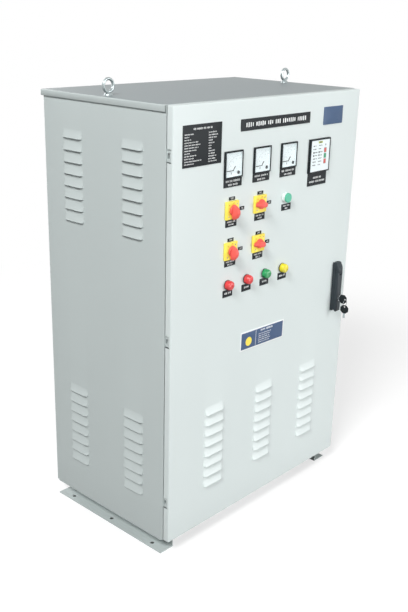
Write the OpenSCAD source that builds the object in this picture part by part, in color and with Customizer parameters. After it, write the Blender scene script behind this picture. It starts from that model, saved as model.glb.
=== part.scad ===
// Thyristor battery charger: a floor standing sheet steel cabinet with a full overlay door.
// X runs across the front, -Y is the front, Z is up, and Z = 0 is the floor.
// The origin is the middle of the six floor bolts.

/* [Cabinet] */
// Width of the cabinet
cabinet_w = 800; // [780:10:900]
// Depth of the body without its door
body_d = 477; // [470:1:560]
// Height of the roof above the floor
cabinet_h = 1262; // [1250:2:1300]
// Height of the base rails
base_h = 48; // [44:1:60]
// Thickness of the folded sheet steel
sheet = 1.5; // [1.2:0.1:2]
// Width of the folded flanges of the panels
flange_w = 18; // [14:1:18]
// Width of the border of the door opening
frame_w = 28; // [26:1:30]

/* [Roof] */
// Height of the lip round the roof
roof_lip = 17; // [14:1:26]
// Overhang of the roof at its sides and rear
roof_over = 5; // [4:0.5:8]
// Distance of each eyebolt from the middle of the roof
eye_x = 370; // [300:5:370]

/* [Base rails] */
// Width of a rail's flanges
rail_w = 50; // [44:1:60]
// Thickness of a rail
rail_t = 3; // [2.5:0.5:4]
// Length of a rail
rail_l = 462; // [440:2:470]
// Distance between the bolt holes along a rail
floor_bolt_y = 178; // [150:1:200]
// Distance of the bolt holes from the cabinet's side
floor_bolt_inset = 18; // [14:1:22]
// Radius of the floor bolt holes
floor_bolt_r = 6.5; // [5:0.5:7]

/* [Door] */
// Depth of the folded door
door_d = 19; // [18:0.5:22]
// Gap between the door and the body
door_gap = 4; // [3.5:0.5:5]
// Radius of the door's front edges
door_r = 4; // [3:0.5:6]
// Height of the middle hinge above the floor
hinge_mid = 657; // [640:1:670]
// Distance from the middle hinge to the outer ones
hinge_step = 483; // [440:1:500]
// Distance of the hinge axis from the door's left edge
hinge_in = 8; // [8:0.5:9]

/* [Louvres] */
// Length of a louvre
louvre_l = 80; // [60:1:90]
// Height of a louvre
louvre_v = 24; // [20:1:27]
// How far a louvre stands proud
louvre_out = 8; // [6:0.5:9]
// Distance between louvres in a group
louvre_pitch = 32.6; // [30:0.1:34]
// Louvres in a group
louvre_n = 8; // [4:1:8]

/* [Instruments] */
// Side of a panel meter
meter_w = 71; // [66:1:76]
// Height of the meters' centres
meter_z = 1098; // [1090:1:1110]
// Distance between the meters' centres
meter_pitch = 117.7; // [100:0.1:120]
// Side of the alarm display
display_w = 98; // [90:1:100]
// Side of a switch plate
plate_w = 48; // [44:1:52]
// Thickness of a switch plate
plate_t = 8; // [6:0.5:9]
// Height of the lamps' centres
lamp_z = 770; // [760:1:780]
// Distance between the lamps' centres
lamp_pitch = 80.3; // [70:0.1:84]

/* [Handle] */
// Length of the handle's base
handle_l = 159; // [150:1:170]
// Width of the handle's base
handle_w = 28; // [26:1:32]
// Thickness of the handle's base
handle_base_t = 10; // [8:0.5:12]
// Thickness of the lever
lever_t = 12; // [11:0.5:13]

/* [Power parts] */
// Width of the transformer's core
core_w = 300; // [280:5:320]
// Height of the transformer's core
core_h = 260; // [240:5:280]
// Number of cooling fins
fin_n = 14; // [10:1:18]

/* [Hidden] */
$fn = 64;
// Amount by which a cutting shape passes the face that it cuts
cut = 1;
// Running clearance of a shaft in its hole
run = 0.05;
// Paint and plastic colours
door_paint = "#DEE7E6";
body_paint = "#C3CCCB";
zinc = "#C9CDD0";
black = "#26292C";
dark_plastic = "#3C4248";
// Planes and edges of the cabinet
side_x = cabinet_w / 2;
front_y = -body_d / 2;
rear_y = body_d / 2;
door_rear = front_y - door_gap;
door_front = door_rear - door_d;
inner_x = side_x - sheet;
panel_top = cabinet_h - sheet;
frame_top = cabinet_h - roof_lip;
roof_r = 4;
// The door is a little shorter than the body
door_z0 = base_h + 2;
door_z1 = cabinet_h - 1;
door_h = door_z1 - door_z0;
door_mid = (door_z0 + door_z1) / 2;
// Door opening in the front frame
open_x = side_x - frame_w;
open_z0 = base_h + frame_w + 2;
open_z1 = cabinet_h - frame_w - 2;
frame_lip_y = front_y - 11.5;
// Lifting eyes
eye_y = 4;
eye_ring_r = 16.5;
eye_wire_r = 4;
eye_centre = 25;
eye_collar_r = 12;
eye_collar_h = 3;
eye_shank_r = 5;
// Cable entry in the floor
entry_w = 400;
entry_d = 120;
entry_y = -145;
gland_rim = 15;
gland_t = 2;
// Hinges
axis_x = -side_x + hinge_in;
axis_y = door_rear - 8;
hinge_zs = [for (i = [-1:1]) hinge_mid + i * hinge_step];
hinge_h = 30;
hinge_t = 2;
barrel_r = 5;
pin_r = 2.5;
middle_knuckle_h = 13;
outer_knuckle_h = 8;
notch_h = 34;
// Louvre groups: distance of a column from the middle, height of the first lip
side_louvre_y = 118;
side_upper_z = 1142.5;
side_lower_z = 391;
door_louvre_x = 221;
door_louvre_z = 401;
louvre_wall = 1.3;
// Instruments on the door
meter_xs = [for (i = [-1:1]) i * meter_pitch - 58.7];
bezel_t = 5.5;
bezel_rim = 4;
dial_w = meter_w - 2 * bezel_rim;
dial_base = 0.2;
dial_wall = 1;
window_t = 1;
window_out = bezel_t - 0.3;
pivot_x = 20.6;
pivot_z = -22.6;
display_x = 203.3;
display_z = 1082.6;
display_out = 8;
face_w = display_w - 8;
face_out = display_out - 1;
display_key_x = 24.1;
display_key_zs = [14.1, -2.1, -18.4];
switch_xs = [-178.5, -61.5];
switch_zs = [977.5, 866];
button_x = 56;
button_z = 978.5;
lamp_x0 = -183;
fit_r = 11.2;
body_r = 11;
head_r = 14;
lens_r = 13;
lens_out = 20.5;
lens_edge_r = 3.5;
collar_r = 16;
cap_r = 13.4;
cap_out = 13.5;
grip_r = 20.5;
grip_offset = 4.6;
stem_r = 4;
// Handle
handle_x = 339.5;
handle_z1 = 732;
handle_z0 = handle_z1 - handle_l;
hub_z = 716;
spindle_r = 9;
lever_gap = 0.3;
lever_y = door_front - handle_base_t - lever_gap;
lift_z = 698;
lever_w = 25;
lever_edge_r = 5;
lever_z0 = handle_z0 - 2;
lock_z = 615;
lock_r = 7;
plug_r = 5;
key_y = lever_y - lever_t - 2;
key_t = 3;
key_hole = 22;
key_hole_y = key_y - key_hole;
ring_r = 10;
ring_wire = 0.8;
ring_z = lock_z - 1.6 - ring_r;
spare_z = ring_z - ring_r - 1.6;
// Inside
plate_y = 205;
plate_z0 = 420;
plate_z1 = 1200;
plate_x = 330;
plate_sheet = 2;
channel_ys = [0, 80];
channel_h = 32;
channel_w = 40;
channel_t = 3;
channel_x = 350;
core_z = base_h + sheet + channel_h;
core_x = -120;
core_y = 40;
leg_w = core_w / 6;
window_w = (core_w - 3 * leg_w) / 2;
leg_pitch = leg_w + window_w;
core_d = 80;
clamp_h = 30;
clamp_t = 6;
choke_x = 200;
choke_w = 150;
choke_h = 160;
choke_d = 60;
choke_window_w = 36;
choke_window_h = 96;
// Parts on the mounting plate: places, and sizes across, out and up
sink_z = 780;
sink_w = 300;
sink_h = 200;
sink_d = 45;
sink_base_t = 12;
fin_t = 3;
module_pitch = 90;
board_x = -180;
board_z = 1090;
board_w = 250;
board_h = 170;
can_x = 80;
can_z = 1100;
can_pitch = 85;
can_r = 33;
can_l = 110;
row_z = 620;
rail_x = 310;
rail_out = 8;
breaker_pitch = 18;
terminal_n = 12;
terminal_pitch = 16;

// A block with its front at -Y, its rear on Y = 0, and its four front edges rounded
module front_block_2d(w, d, r) {
    translate([-w / 2, -d + r]) square([w, d - r]);
    translate([-w / 2 + r, -d]) square([w - 2 * r, d]);
    for (s = [-1, 1]) translate([s * (w / 2 - r), -d + r]) circle(r);
}
module front_block(w, h, d, r) {
    intersection() {
        linear_extrude(h, center = true) front_block_2d(w, d, r);
        rotate([0, -90, 0]) linear_extrude(w + 2, center = true) front_block_2d(h, d, r);
    }
}
// A plate that stands upright: w by h with round corners, t thick towards -Y
module plate(w, h, t, r) {
    rotate([90, 0, 0]) linear_extrude(t) rounded_2d(w, h, r);
}
module rounded_2d(w, h, r) {
    square([w - 2 * r, h], center = true);
    square([w, h - 2 * r], center = true);
    for (sx = [-1, 1], sz = [-1, 1]) translate([sx * (w / 2 - r), sz * (h / 2 - r)]) circle(r);
}
// A cylinder along -Y from Y = 0
module rod_y(r, l) {
    rotate([90, 0, 0]) cylinder(r = r, h = l);
}
// A body turned about the Y axis from points of [radius, distance towards -Y]
module turned_y(points) {
    rotate([90, 0, 0]) rotate_extrude() polygon(points);
}
module box(x0, x1, y0, y1, z0, z1) {
    translate([x0, y0, z0]) cube([x1 - x0, y1 - y0, z1 - z0]);
}

// One pressed louvre: a wedge that stands proud at its lip, Z = 0, and runs out at its top
module louvre_form(inset) {
    out = louvre_out - inset;
    half = louvre_l / 2 - inset;
    slope = louvre_v / louvre_out;
    back = sheet + cut;
    intersection() {
        rotate([90, 0, 90]) linear_extrude(2 * half, center = true)
            polygon([[-out, -cut], [-out, 0], [back, (out + back) * slope], [back, -cut]]);
        // Steep ends that lean inwards
        translate([0, 0, -cut]) linear_extrude((out + back) * slope + 2 * cut) polygon([
            [-half, back], [-half, 0], [-half + 1.5, -out * 0.6], [-half + 4.5, -out * 0.95],
            [-half + 6, -out], [half - 6, -out],
            [half - 4.5, -out * 0.95], [half - 1.5, -out * 0.6], [half, 0], [half, back]
        ]);
    }
}
module louvre_shell() {
    intersection() {
        louvre_form(0);
        translate([-louvre_l, -louvre_out, 0]) cube([2 * louvre_l, louvre_out + sheet / 2, louvre_v]);
    }
}
module louvre_group(z) {
    for (i = [0:louvre_n - 1]) translate([0, 0, z - i * louvre_pitch]) children();
}
// A sheet on Y = 0..sheet with louvre groups at each [x, z], standing proud at -Y
module louvred(groups) {
    difference() {
        union() {
            children();
            for (g = groups) translate([g[0], 0, 0]) louvre_group(g[1]) louvre_shell();
        }
        for (g = groups) translate([g[0], 0, 0]) louvre_group(g[1]) louvre_form(louvre_wall);
    }
}

// The left side panel; the right one is its mirror image
module side_sheet() {
    louvred([for (y = [-side_louvre_y, side_louvre_y], z = [side_upper_z, side_lower_z]) [y, z]])
        box(-rear_y, rear_y, 0, sheet, base_h, panel_top);
}
module side_panel() {
    translate([-side_x, 0, 0]) rotate([0, 0, -90]) side_sheet();
    // Rear, bottom and top flanges
    x1 = flange_w - inner_x;
    y1 = rear_y - sheet;
    box(-inner_x, x1, y1 - sheet, y1, base_h + 2 * sheet, panel_top - sheet);
    for (z = [base_h + sheet, panel_top - sheet]) box(-inner_x, x1, front_y + roof_r, y1, z, z + sheet);
}
module side_panel_left() {
    color(body_paint) side_panel();
}
module side_panel_right() {
    color(body_paint) mirror([1, 0, 0]) side_panel();
}
module back_panel() {
    color(body_paint) box(-inner_x, inner_x, rear_y - sheet, rear_y, base_h + sheet, panel_top);
}
module front_frame() {
    color(body_paint) difference() {
        union() {
            box(-inner_x, inner_x, front_y, front_y + sheet, base_h + sheet, frame_top);
            box(-open_x - sheet, open_x + sheet, frame_lip_y, front_y, open_z0 - sheet, open_z1 + sheet);
        }
        box(-open_x, open_x, frame_lip_y - cut, front_y + sheet + cut, open_z0, open_z1);
    }
}
module floor_pan() {
    color(body_paint) difference() {
        box(-inner_x, inner_x, front_y, rear_y - sheet, base_h, base_h + sheet);
        // Cable entry under the gland plate
        translate([0, entry_y, base_h]) cube([entry_w, entry_d, 4 * sheet], center = true);
    }
}
module gland_plate() {
    color(zinc) translate([0, entry_y, base_h + sheet + gland_t / 2])
        cube([entry_w + 2 * gland_rim, entry_d + 2 * gland_rim, gland_t], center = true);
}
// Section of the roof: its top is on the X axis and its two upper corners are round
module roof_2d(x0, x1, r) {
    translate([x0, -roof_lip]) square([x1 - x0, roof_lip - r]);
    translate([x0 + r, -roof_lip]) square([x1 - x0 - 2 * r, roof_lip]);
    for (x = [x0 + r, x1 - r]) translate([x, -r]) circle(r);
}
module roof_form(side, front, rear, r) {
    intersection() {
        translate([0, rear, 0]) rotate([90, 0, 0]) linear_extrude(rear - front) roof_2d(-side, side, r);
        rotate([90, 0, 90]) linear_extrude(2 * side, center = true) roof_2d(front, rear, r);
    }
}
// The roof: a shallow cap with a lip all round; at the front the lip stands between the side panels
module roof_cap() {
    side = side_x + roof_over;
    rear = rear_y + roof_over;
    color(body_paint) difference() {
        translate([0, 0, cabinet_h]) roof_form(side, front_y, rear, roof_r);
        translate([0, 0, panel_top]) roof_form(side - sheet, front_y + sheet, rear - sheet, roof_r - sheet);
        for (s = [-1, 1]) {
            translate([s * (inner_x + side - sheet) / 2, front_y, panel_top - roof_lip])
                cube([side - sheet - inner_x, 2 * roof_r, 2 * roof_lip], center = true);
            translate([s * eye_x, eye_y, panel_top])
                cylinder(r = eye_shank_r + 0.5, h = 4 * sheet, center = true);
        }
    }
}

// A base rail: a channel that opens outwards, with three bolt holes in its lower flange
module base_rail() {
    x0 = -side_x;
    difference() {
        box(x0, x0 + rail_w, -rail_l / 2, rail_l / 2, 0, base_h);
        box(x0 - cut, x0 + rail_w - rail_t, -rail_l / 2 - cut, rail_l / 2 + cut, rail_t, base_h - rail_t);
        for (i = [-1:1]) translate([x0 + floor_bolt_inset, i * floor_bolt_y, -cut])
            cylinder(r = floor_bolt_r, h = rail_t + 2 * cut);
    }
}
module base_rail_left() {
    color(door_paint) base_rail();
}
module base_rail_right() {
    color(door_paint) mirror([1, 0, 0]) base_rail();
}

// A lifting eyebolt: collar, neck, ring, and a shank with its nut under the roof
module eyebolt(x) {
    neck_h = eye_centre - eye_ring_r - eye_collar_h;
    color(zinc) translate([x, eye_y, cabinet_h]) {
        cylinder(r1 = eye_collar_r, r2 = eye_collar_r - 1.5, h = eye_collar_h);
        translate([0, 0, eye_collar_h]) cylinder(r1 = eye_collar_r - 1.5, r2 = eye_wire_r + 1, h = neck_h);
        translate([0, 0, eye_centre]) rotate([90, 0, 0])
            rotate_extrude($fn = 72) translate([eye_ring_r, 0]) circle(eye_wire_r, $fn = 32);
        translate([0, 0, -22]) cylinder(r = eye_shank_r, h = 23);
        translate([0, 0, -sheet - 8]) cylinder(r = 8.5, h = 8, $fn = 6);
    }
}
module eyebolt_left() {
    eyebolt(-eye_x);
}
module eyebolt_right() {
    eyebolt(eye_x);
}

// Hinges: a bracket with two knuckles on the frame, a pin, and a leaf with one knuckle on the door
module hinge_bracket() {
    face = front_y - axis_y;
    knuckle_z = (hinge_h - outer_knuckle_h) / 2;
    difference() {
        union() {
            box(-5, 17, face - hinge_t, face, -hinge_h / 2, hinge_h / 2);
            for (s = [-1, 1]) translate([0, 0, s * knuckle_z]) {
                cylinder(r = barrel_r, h = outer_knuckle_h, center = true);
                translate([0, (face - hinge_t / 2) / 2, 0])
                    cube([8, face - hinge_t / 2, outer_knuckle_h], center = true);
            }
        }
        cylinder(r = pin_r, h = hinge_h + 2, center = true);
    }
}
module hinge_brackets() {
    color(zinc) for (z = hinge_zs) translate([axis_x, axis_y, z]) hinge_bracket();
}
module hinge_pins() {
    color(zinc) for (z = hinge_zs) translate([axis_x, axis_y, z]) {
        cylinder(r = pin_r, h = hinge_h, center = true);
        translate([0, 0, hinge_h / 2]) cylinder(r1 = 4, r2 = 3, h = 2);
    }
}
module hinge_leaves() {
    back = door_front + sheet - axis_y;
    color(zinc) for (z = hinge_zs) translate([axis_x, axis_y, z]) difference() {
        union() {
            box(-4, 6, back, back + hinge_t, -hinge_h / 2, hinge_h / 2);
            cylinder(r = barrel_r, h = middle_knuckle_h, center = true);
            translate([0, (back + hinge_t / 2) / 2, 0])
                cube([8, -back - hinge_t / 2, middle_knuckle_h], center = true);
        }
        cylinder(r = pin_r + run, h = hinge_h + 2, center = true);
    }
}

// Plate that carries the power and control parts, folded back to the rear panel
module mounting_plate() {
    inner = plate_x - plate_sheet;
    color(zinc) difference() {
        box(-plate_x, plate_x, plate_y, rear_y - sheet, plate_z0, plate_z1);
        box(-inner, inner, plate_y + plate_sheet, rear_y, plate_z0 - cut, plate_z1 + cut);
    }
}
module floor_channels() {
    low = base_h + sheet;
    inner = channel_w / 2 - channel_t;
    color(zinc) for (y = channel_ys) difference() {
        box(-channel_x, channel_x, y - channel_w / 2, y + channel_w / 2, low, core_z);
        box(-channel_x - cut, channel_x + cut, y - inner, y + inner, low - cut, core_z - channel_t);
    }
}
// Stacked three leg core, with clamping bars along its yokes
module transformer_core() {
    color("#5B6066") translate([core_x, core_y, core_z]) {
        difference() {
            translate([0, 0, core_h / 2]) cube([core_w, core_d, core_h], center = true);
            for (s = [-1, 1]) translate([s * leg_pitch / 2, 0, core_h / 2])
                cube([window_w, core_d + 2 * cut, core_h - 2 * leg_w], center = true);
        }
        for (s = [-1, 1], z = [leg_w / 2, core_h - leg_w / 2])
            translate([0, s * (core_d + clamp_t) / 2, z])
                cube([core_w + 20, clamp_t, clamp_h], center = true);
    }
}
module winding(w, d, h, wall) {
    linear_extrude(h) difference() {
        rounded_2d(w + 2 * wall, d + 2 * wall, 16);
        square([w, d], center = true);
    }
}
module transformer_coils() {
    color("#B5543A") for (i = [-1:1])
        translate([core_x + i * leg_pitch, core_y, core_z + leg_w])
            winding(leg_w + 2, core_d + 2, core_h - 2 * leg_w - 4, 27);
}
module choke_core() {
    leg = (choke_w - 2 * choke_window_w) / 4;
    color("#5B6066") translate([choke_x, core_y, core_z + choke_h / 2]) difference() {
        cube([choke_w, choke_d, choke_h], center = true);
        for (s = [-1, 1]) translate([s * (choke_window_w / 2 + leg), 0, 0])
            cube([choke_window_w, choke_d + 2 * cut, choke_window_h], center = true);
    }
}
module choke_coil() {
    leg = (choke_w - 2 * choke_window_w) / 2;
    color("#B5543A") translate([choke_x, core_y, core_z + (choke_h - choke_window_h) / 2])
        winding(leg + 1, choke_d + 2, choke_window_h - 4, 15);
}
// Extruded heat sink: a thick front with upright fins towards the plate
module heat_sink() {
    color("#AEB4B8") translate([-sink_w / 2, plate_y - sink_d, sink_z]) {
        cube([sink_w, sink_base_t, sink_h]);
        for (i = [0:fin_n - 1]) translate([2 + i * (sink_w - 4 - fin_t) / (fin_n - 1), sink_base_t, 0])
            cube([fin_t, sink_d - sink_base_t, sink_h]);
    }
}
// Two rows of screw terminals on a moulded block with a metal foot
module thyristor_module() {
    box(-17, 17, -5, 0, -46, 46);
    box(-15, 15, -24, -5, -38, 38);
    box(-10, 10, -30, -24, -34, 20);
    for (z = [-26, -7, 12]) translate([0, -30, z]) rod_y(5, 4);
}
module thyristor_modules() {
    color(black) for (i = [-1:1])
        translate([i * module_pitch, plate_y - sink_d, sink_z + sink_h / 2]) thyristor_module();
}
// Board on four pillars, with a connector along its top and its foot and a row of relays
module control_board() {
    pillar = 12;
    board_t = 2;
    face = -pillar - board_t;
    connector_x = board_w / 2 - 10;
    connector_z = board_h / 2 - 15;
    color("#2F7D4F") translate([board_x, plate_y, board_z]) {
        for (sx = [-1, 1], sz = [-1, 1]) translate([sx * connector_x, 0, sz * 75]) rod_y(4, pillar);
        box(-board_w / 2, board_w / 2, face, -pillar, -board_h / 2, board_h / 2);
        for (s = [-1, 1])
            box(-connector_x, connector_x, face - pillar, face, s * connector_z - 8, s * connector_z + 8);
        for (x = [-80, -30, 20, 70]) box(x, x + 30, face - 16, face, -20, 10);
    }
}
module filter_capacitors() {
    color("#3B4A68") for (i = [0:2]) translate([can_x + i * can_pitch, plate_y, can_z]) {
        rod_y(can_r, can_l);
        for (s = [-1, 1]) translate([s * 12, -can_l, 0]) rod_y(5, 6);
    }
}
// Power contactor: stepped moulded body
module contactor() {
    color(black) translate([-260, plate_y - rail_out, row_z]) {
        box(-38, 38, -60, 0, -45, 45);
        box(-38, 38, -85, -60, -25, 25);
        box(-20, 20, -92, -85, -14, 14);
    }
}
// A circuit breaker with n poles
module breaker(n) {
    w = breaker_pitch * n;
    box(0, w - 0.5, -44, 0, -42, 42);
    box(0, w - 0.5, -62, -44, -23, 23);
    box(4, w - 4.5, -74, -62, -6, 4);
}
module breakers() {
    color("#E9E9E4") translate([0, plate_y - rail_out, row_z]) {
        for (x = [-150, -90]) translate([x, 0, 0]) breaker(3);
        for (x = [-30, 12]) translate([x, 0, 0]) breaker(2);
    }
}
module terminal_strip() {
    out = 42;
    half_h = 30;
    color("#8D9296") translate([100, plate_y - rail_out, row_z]) difference() {
        box(0, terminal_n * terminal_pitch, -out, 0, -half_h, half_h);
        // Grooves between the terminals and their screw wells
        for (i = [1:terminal_n - 1])
            translate([i * terminal_pitch, -out, 0]) cube([0.8, out - 6, 2 * half_h + 2 * cut], center = true);
        for (i = [0:terminal_n - 1], s = [-1, 1])
            translate([(i + 0.5) * terminal_pitch, -30, s * 18]) rod_y(4.5, 14);
    }
}
// Top hat rail: 35 wide, 8 deep
module din_rails() {
    color(zinc) translate([0, plate_y, row_z]) {
        box(-rail_x, rail_x, -1, 0, -12.5, 12.5);
        for (s = [-1, 1]) {
            box(-rail_x, rail_x, -rail_out, -1, s * 12.5 - 0.5, s * 12.5 + 0.5);
            box(-rail_x, rail_x, -rail_out, 1 - rail_out, s * 15 - 2.5, s * 15 + 2.5);
        }
    }
}

// The door: a folded tray with louvres, instrument cut-outs and three hinge notches.
// A panel instrument needs a square hole a little smaller than its bezel
module window_cut(w) {
    cube([w - 4, 20, w - 4], center = true);
}
module door_cutouts() {
    for (x = meter_xs) translate([x, door_front, meter_z]) window_cut(meter_w);
    translate([display_x, door_front, display_z]) window_cut(display_w);
    for (x = switch_xs, z = switch_zs) translate([x, door_front + 10, z]) rod_y(fit_r, 20);
    for (i = [0:3]) translate([lamp_x0 + i * lamp_pitch, door_front + 10, lamp_z]) rod_y(fit_r, 20);
    translate([button_x, door_front + 10, button_z]) rod_y(fit_r, 20);
    translate([handle_x, door_front + 10, hub_z]) rod_y(spindle_r + 0.5, 20);
    // Hinge notches in the left edge
    for (z = hinge_zs)
        box(-side_x - cut, -side_x + 4, door_front + 5.5, door_rear + cut, z - notch_h / 2, z + notch_h / 2);
}
module door_tray() {
    translate([0, door_rear, door_mid]) difference() {
        front_block(cabinet_w, door_h, door_d, door_r);
        translate([0, cut, 0])
            front_block(cabinet_w - 2 * sheet, door_h - 2 * sheet, door_d + cut - sheet, door_r - sheet);
    }
}
module door_panel() {
    color(door_paint) difference() {
        translate([0, door_front, 0])
            louvred([for (x = [-door_louvre_x, 0, door_louvre_x]) [x, door_louvre_z]])
                translate([0, -door_front, 0]) door_tray();
        door_cutouts();
    }
}
// Soft seal inside the door that meets the lip of the frame
module door_seal() {
    w = open_x + 5;
    color(black) difference() {
        box(-w - 8, w + 8, door_front + sheet, frame_lip_y - 0.5, open_z0 - 8, open_z1 + 8);
        box(-w + 6, w - 6, door_front, frame_lip_y, open_z0 + 6, open_z1 - 6);
    }
}

// Quadrant meter: square bezel, dial in a white tray, barrel behind the door and two rear studs
module meter_housing() {
    difference() {
        union() {
            front_block(meter_w, meter_w, bezel_t, 1.2);
            translate([0, 19, 0]) cube([meter_w - 6, 38, meter_w - 6], center = true);
            for (s = [-1, 1]) translate([s * 15, 46, -10]) rod_y(3, 9);
        }
        translate([0, -dial_base - bezel_t / 2, 0]) cube([dial_w, bezel_t, dial_w], center = true);
    }
}
module at_meter(i) {
    translate([meter_xs[i], door_front, meter_z]) children();
}
module meter_housings() {
    color(black) for (i = [0:2]) at_meter(i) meter_housing();
}
module meter_dials() {
    tray_d = window_out - window_t - dial_base;
    inner_w = dial_w - 2 * dial_wall;
    color("#F4F6F6") for (i = [0:2]) at_meter(i) difference() {
        translate([0, -dial_base - tray_d / 2, 0]) cube([dial_w, tray_d, dial_w], center = true);
        translate([0, -dial_base - dial_wall - tray_d / 2, 0])
            cube([inner_w, tray_d, inner_w], center = true);
        translate([pivot_x, cut, pivot_z]) rod_y(1.5, bezel_t);
    }
}
module meter_windows() {
    color("#DDE8EC", 0.35) for (i = [0:2]) at_meter(i)
        translate([0, -window_out + window_t / 2, 0]) cube([dial_w, window_t, dial_w], center = true);
}
// A cranked pointer that turns about a boss in the lower right corner of the dial
module meter_pointer(i) {
    color(black) at_meter(i) translate([pivot_x, 0, pivot_z]) {
        translate([0, -dial_base - 0.2, 0]) rod_y(1.2, 2);
        translate([0, -1.4, 0]) rod_y(4.5, 2);
        translate([0, -2.2, 0]) rotate([90, 0, 0]) linear_extrude(0.5)
            polygon([[0, 0.5], [0, -0.5], [-20, 6.1], [-47, 6.3], [-47, 6.9], [-20, 7.1]]);
    }
}
module meter_pointer_1() {
    meter_pointer(0);
}
module meter_pointer_2() {
    meter_pointer(1);
}
module meter_pointer_3() {
    meter_pointer(2);
}

// Alarm display: case with a sunk face and three keys
module display_case() {
    color(black) translate([display_x, door_front, display_z]) difference() {
        union() {
            front_block(display_w, display_w, display_out, 1.5);
            translate([0, 25, 0]) cube([display_w - 6, 50, display_w - 6], center = true);
        }
        translate([0, -face_out - 0.5, 0]) cube([face_w, 3, face_w], center = true);
    }
}
module display_face() {
    color("#F1F5F5") translate([display_x, door_front - face_out + 0.5, display_z])
        cube([face_w, 1, face_w], center = true);
}
module display_keys() {
    color("#D9534A") for (z = display_key_zs)
        translate([display_x + display_key_x, door_front - face_out, display_z + z]) plate(10, 12, 0.8, 1.5);
}

// Rotary switches: yellow plate, red knob, contact block behind the door
module at_switch(i) {
    translate([switch_xs[i % 2], door_front, switch_zs[floor(i / 2)]]) children();
}
module switch_plates() {
    color("#FAE146") for (i = [0:3]) at_switch(i) difference() {
        front_block(plate_w, plate_w, plate_t, 2);
        translate([0, cut, 0]) rod_y(5, plate_t + 2 * cut);
        // Two fixing screws recessed in opposite corners
        for (s = [-1, 1]) translate([s * 16, -plate_t + 1.5, s * 16]) rod_y(2.4, 4);
    }
}
// Contact block: a fixing nut and three wafers on a narrower body
module switch_blocks() {
    wafer_w = 42;
    wafer_t = 14;
    wafer_pitch = 16;
    color(black) for (i = [0:3]) at_switch(i) difference() {
        union() {
            translate([0, 2, 0]) rod_y(body_r - 0.1, 2);
            for (k = [0:2]) translate([0, 2 + wafer_t / 2 + k * wafer_pitch, 0])
                cube([wafer_w - k, wafer_t, wafer_w - k], center = true);
            translate([0, 25, 0]) cube([34, 44, 34], center = true);
        }
        translate([0, 16, 0]) rod_y(stem_r + run, 20);
    }
}
// Knob: a round foot and a half round grip of lens shaped plan; turn is its angle at rest
module switch_knob(i, turn) {
    lens_circle_r = 37.2;
    lens_half_w = 9.5;
    color("#F0625A") at_switch(i) rotate([0, turn, 0]) {
        translate([0, -plate_t - 0.3, 0]) {
            rotate([90, 0, 0]) cylinder(r1 = 14, r2 = 13, h = 5);
            intersection() {
                translate([0, -0.7, -grip_offset]) rotate([0, 90, 0])
                    cylinder(r = grip_r, h = 2 * lens_half_w, center = true);
                translate([0, -2, -grip_offset]) rotate([90, 0, 0]) linear_extrude(grip_r) intersection() {
                    translate([lens_half_w - lens_circle_r, 0]) circle(lens_circle_r);
                    translate([lens_circle_r - lens_half_w, 0]) circle(lens_circle_r);
                }
            }
        }
        translate([0, 14, 0]) rod_y(stem_r, plate_t + 16);
    }
}
module switch_knob_1() {
    switch_knob(0, 0);
}
module switch_knob_2() {
    switch_knob(1, 90);
}
module switch_knob_3() {
    switch_knob(2, 0);
}
module switch_knob_4() {
    switch_knob(3, 90);
}

// Push button: bright collar with its barrel, and a green cap on a stem
module button_collar() {
    inner_r = cap_r + 0.3;
    color("#E4E9E8") translate([button_x, door_front, button_z]) {
        turned_y([[inner_r, 0], [collar_r, 0], [collar_r, 7], [collar_r - 1, 8.5], [inner_r, 8.5]]);
        difference() {
            translate([0, 46, 0]) rod_y(body_r, 47);
            translate([0, 40, 0]) rod_y(stem_r + run, 42);
        }
        turned_y([[stem_r + run, 0], [inner_r + 0.5, 0], [inner_r + 0.5, 1], [stem_r + run, 1]]);
    }
}
module button_cap() {
    color("#69C4A8") translate([button_x, door_front, button_z]) {
        turned_y([[0, 5.5], [cap_r, 5.5], [cap_r, cap_out - 0.8], [cap_r - 0.8, cap_out], [0, cap_out]]);
        translate([0, 20, 0]) rod_y(stem_r, 26);
    }
}

// Indicator lamps
module at_lamp(i) {
    translate([lamp_x0 + i * lamp_pitch, door_front, lamp_z]) children();
}
module lamp_holders() {
    color("#4A4F52") for (i = [0:3]) at_lamp(i) {
        rod_y(head_r, 2);
        translate([0, 42, 0]) rod_y(body_r, 43);
    }
}
// A lens with a straight wall, a round edge and a low crown
module lamp_lens() {
    edge = lens_r - lens_edge_r;
    wall = lens_out - 1.5 - lens_edge_r;
    turned_y(concat([[0, 2], [lens_r, 2], [lens_r, wall]],
        [for (a = [15:15:75]) [edge + lens_edge_r * cos(a), wall + lens_edge_r * sin(a)]],
        [[edge - 2, lens_out - 0.9], [edge / 2, lens_out - 0.2], [0, lens_out]]));
}
module lamp_lenses_red() {
    color("#E04848") for (i = [0, 1]) at_lamp(i) lamp_lens();
}
module lamp_lens_green() {
    color("#32965F") at_lamp(2) lamp_lens();
}
module lamp_lens_yellow() {
    color("#F5E132") at_lamp(3) lamp_lens();
}

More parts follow.
